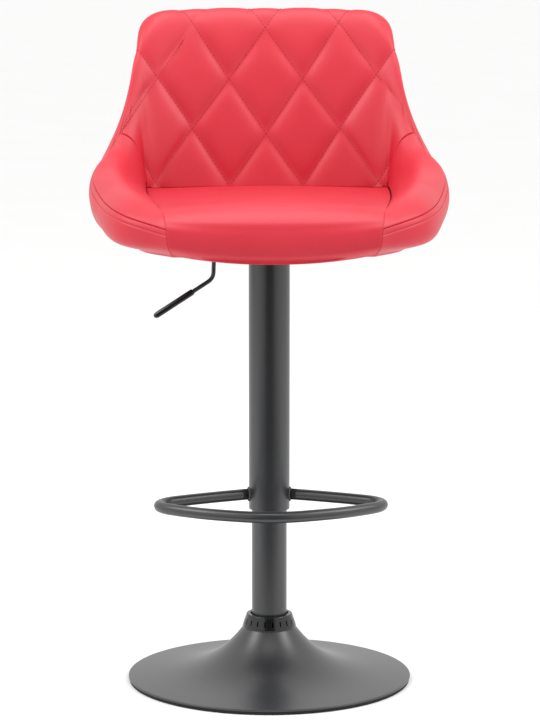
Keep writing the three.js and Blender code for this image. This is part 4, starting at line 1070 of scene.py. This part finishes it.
stitches = stitched(cover_stitches, TOPSTITCH_PITCH, TOPSTITCH_LENGTH, TOPSTITCH_RADIUS)
topstitch = new_piece("cover_topstitch_thread", stitches, thread)
fit(topstitch, "upper", "red_leatherette")

# ---------- dust cover ----------
# Black spun-bonded cloth stapled tight under the board, cut out round the pan's flange.
# Non-woven polypropylene: matt black-grey, with the dimples of its bonding points every 1.5 mm.
dust_cloth, tree, shader = new_finish("black spun-bonded cloth", Roughness=0.9, IOR=1.5)
place = add(tree, "TexCoord").outputs["Object"]
bond = add(tree, "TexVoronoi", {"Vector": place, "Scale": 1 / 0.0015, "Randomness": 0.15})
tint(tree, shader, bond.outputs["Distance"], "#1B1B1C", "#262627")
roughen(tree, shader, bond.outputs["Distance"], 0.0001)

CLOTH_INSET = 0.010
CLOTH = 0.0006
CLOTH_SAG = 0.0004
HOLE_ROOM = 0.0006
cloth_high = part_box("dust_cover")[1]
hem = wall(np.linspace(-ARM_END, ARM_END, 181), HEM)
front = np.linspace(hem[-1], hem[0], 61)[1:-1]
outline = np.concatenate([hem, front])[:, :2]
outline *= 1 - CLOTH_INSET / np.linalg.norm(outline, axis=1, keepdims=True)
hole_x, hole_y = pan_high.x + HOLE_ROOM, pan_high.y + HOLE_ROOM
away = np.maximum(np.abs(outline), 1e-9)
reach = np.minimum(hole_x / away[:, 0], hole_y / away[:, 1])
opening = outline * reach[:, None]
share = np.linspace(0, 1, 36)[:, None, None]
flat_points = opening + (outline - opening) * share
heights = cloth_high.z - 0.0001 - CLOTH_SAG * np.sin(np.pi * share) ** 2
upper_side = np.concatenate([flat_points, np.broadcast_to(heights, flat_points.shape[:2] + (1,))], -1)
both_sides = np.concatenate([upper_side, (upper_side - [0, 0, CLOTH])[::-1]])
cloth_shell = both_sides.reshape(-1, 3), quads(*both_sides.shape[:2], True, True)
cloth = new_piece("dust_cover_cloth", [cloth_shell], dust_cloth)
fit(cloth, "upper", "dust_cloth", "dust_cover")
size = np.ptp(outline, axis=0)

# Steel wire staples, 10 mm across, every 35 mm just inside the cloth's edge.
STAPLE_SPACING = 0.035
STAPLE_HALF, STAPLE_WIRE = 0.005, 0.0005
STAPLE_PLACE = 0.965
edge = np.concatenate([outline, outline[:1]]) * STAPLE_PLACE
run = travelled(edge)
shells = []
for spot in np.arange(STAPLE_SPACING / 2, run[-1], STAPLE_SPACING):
    middle, ahead = (
        np.array([np.interp(where, run, edge[:, k]) for k in (0, 1)]) for where in (spot, spot + 0.001)
    )
    angle = math.atan2(*(ahead - middle)[::-1])
    low, high = (-STAPLE_HALF, -STAPLE_WIRE, -STAPLE_WIRE), (STAPLE_HALF, STAPLE_WIRE, 0.0002)
    points, faces = block(low, high, angle)
    shells.append((points + [*middle, cloth_high.z - CLOTH - 0.0004], faces))
staples = new_piece("dust_cover_staples", shells, zinc)
staples.data.set_sharp_from_angle(angle=math.radians(30))
fit(staples, "upper", "zinc_plate")
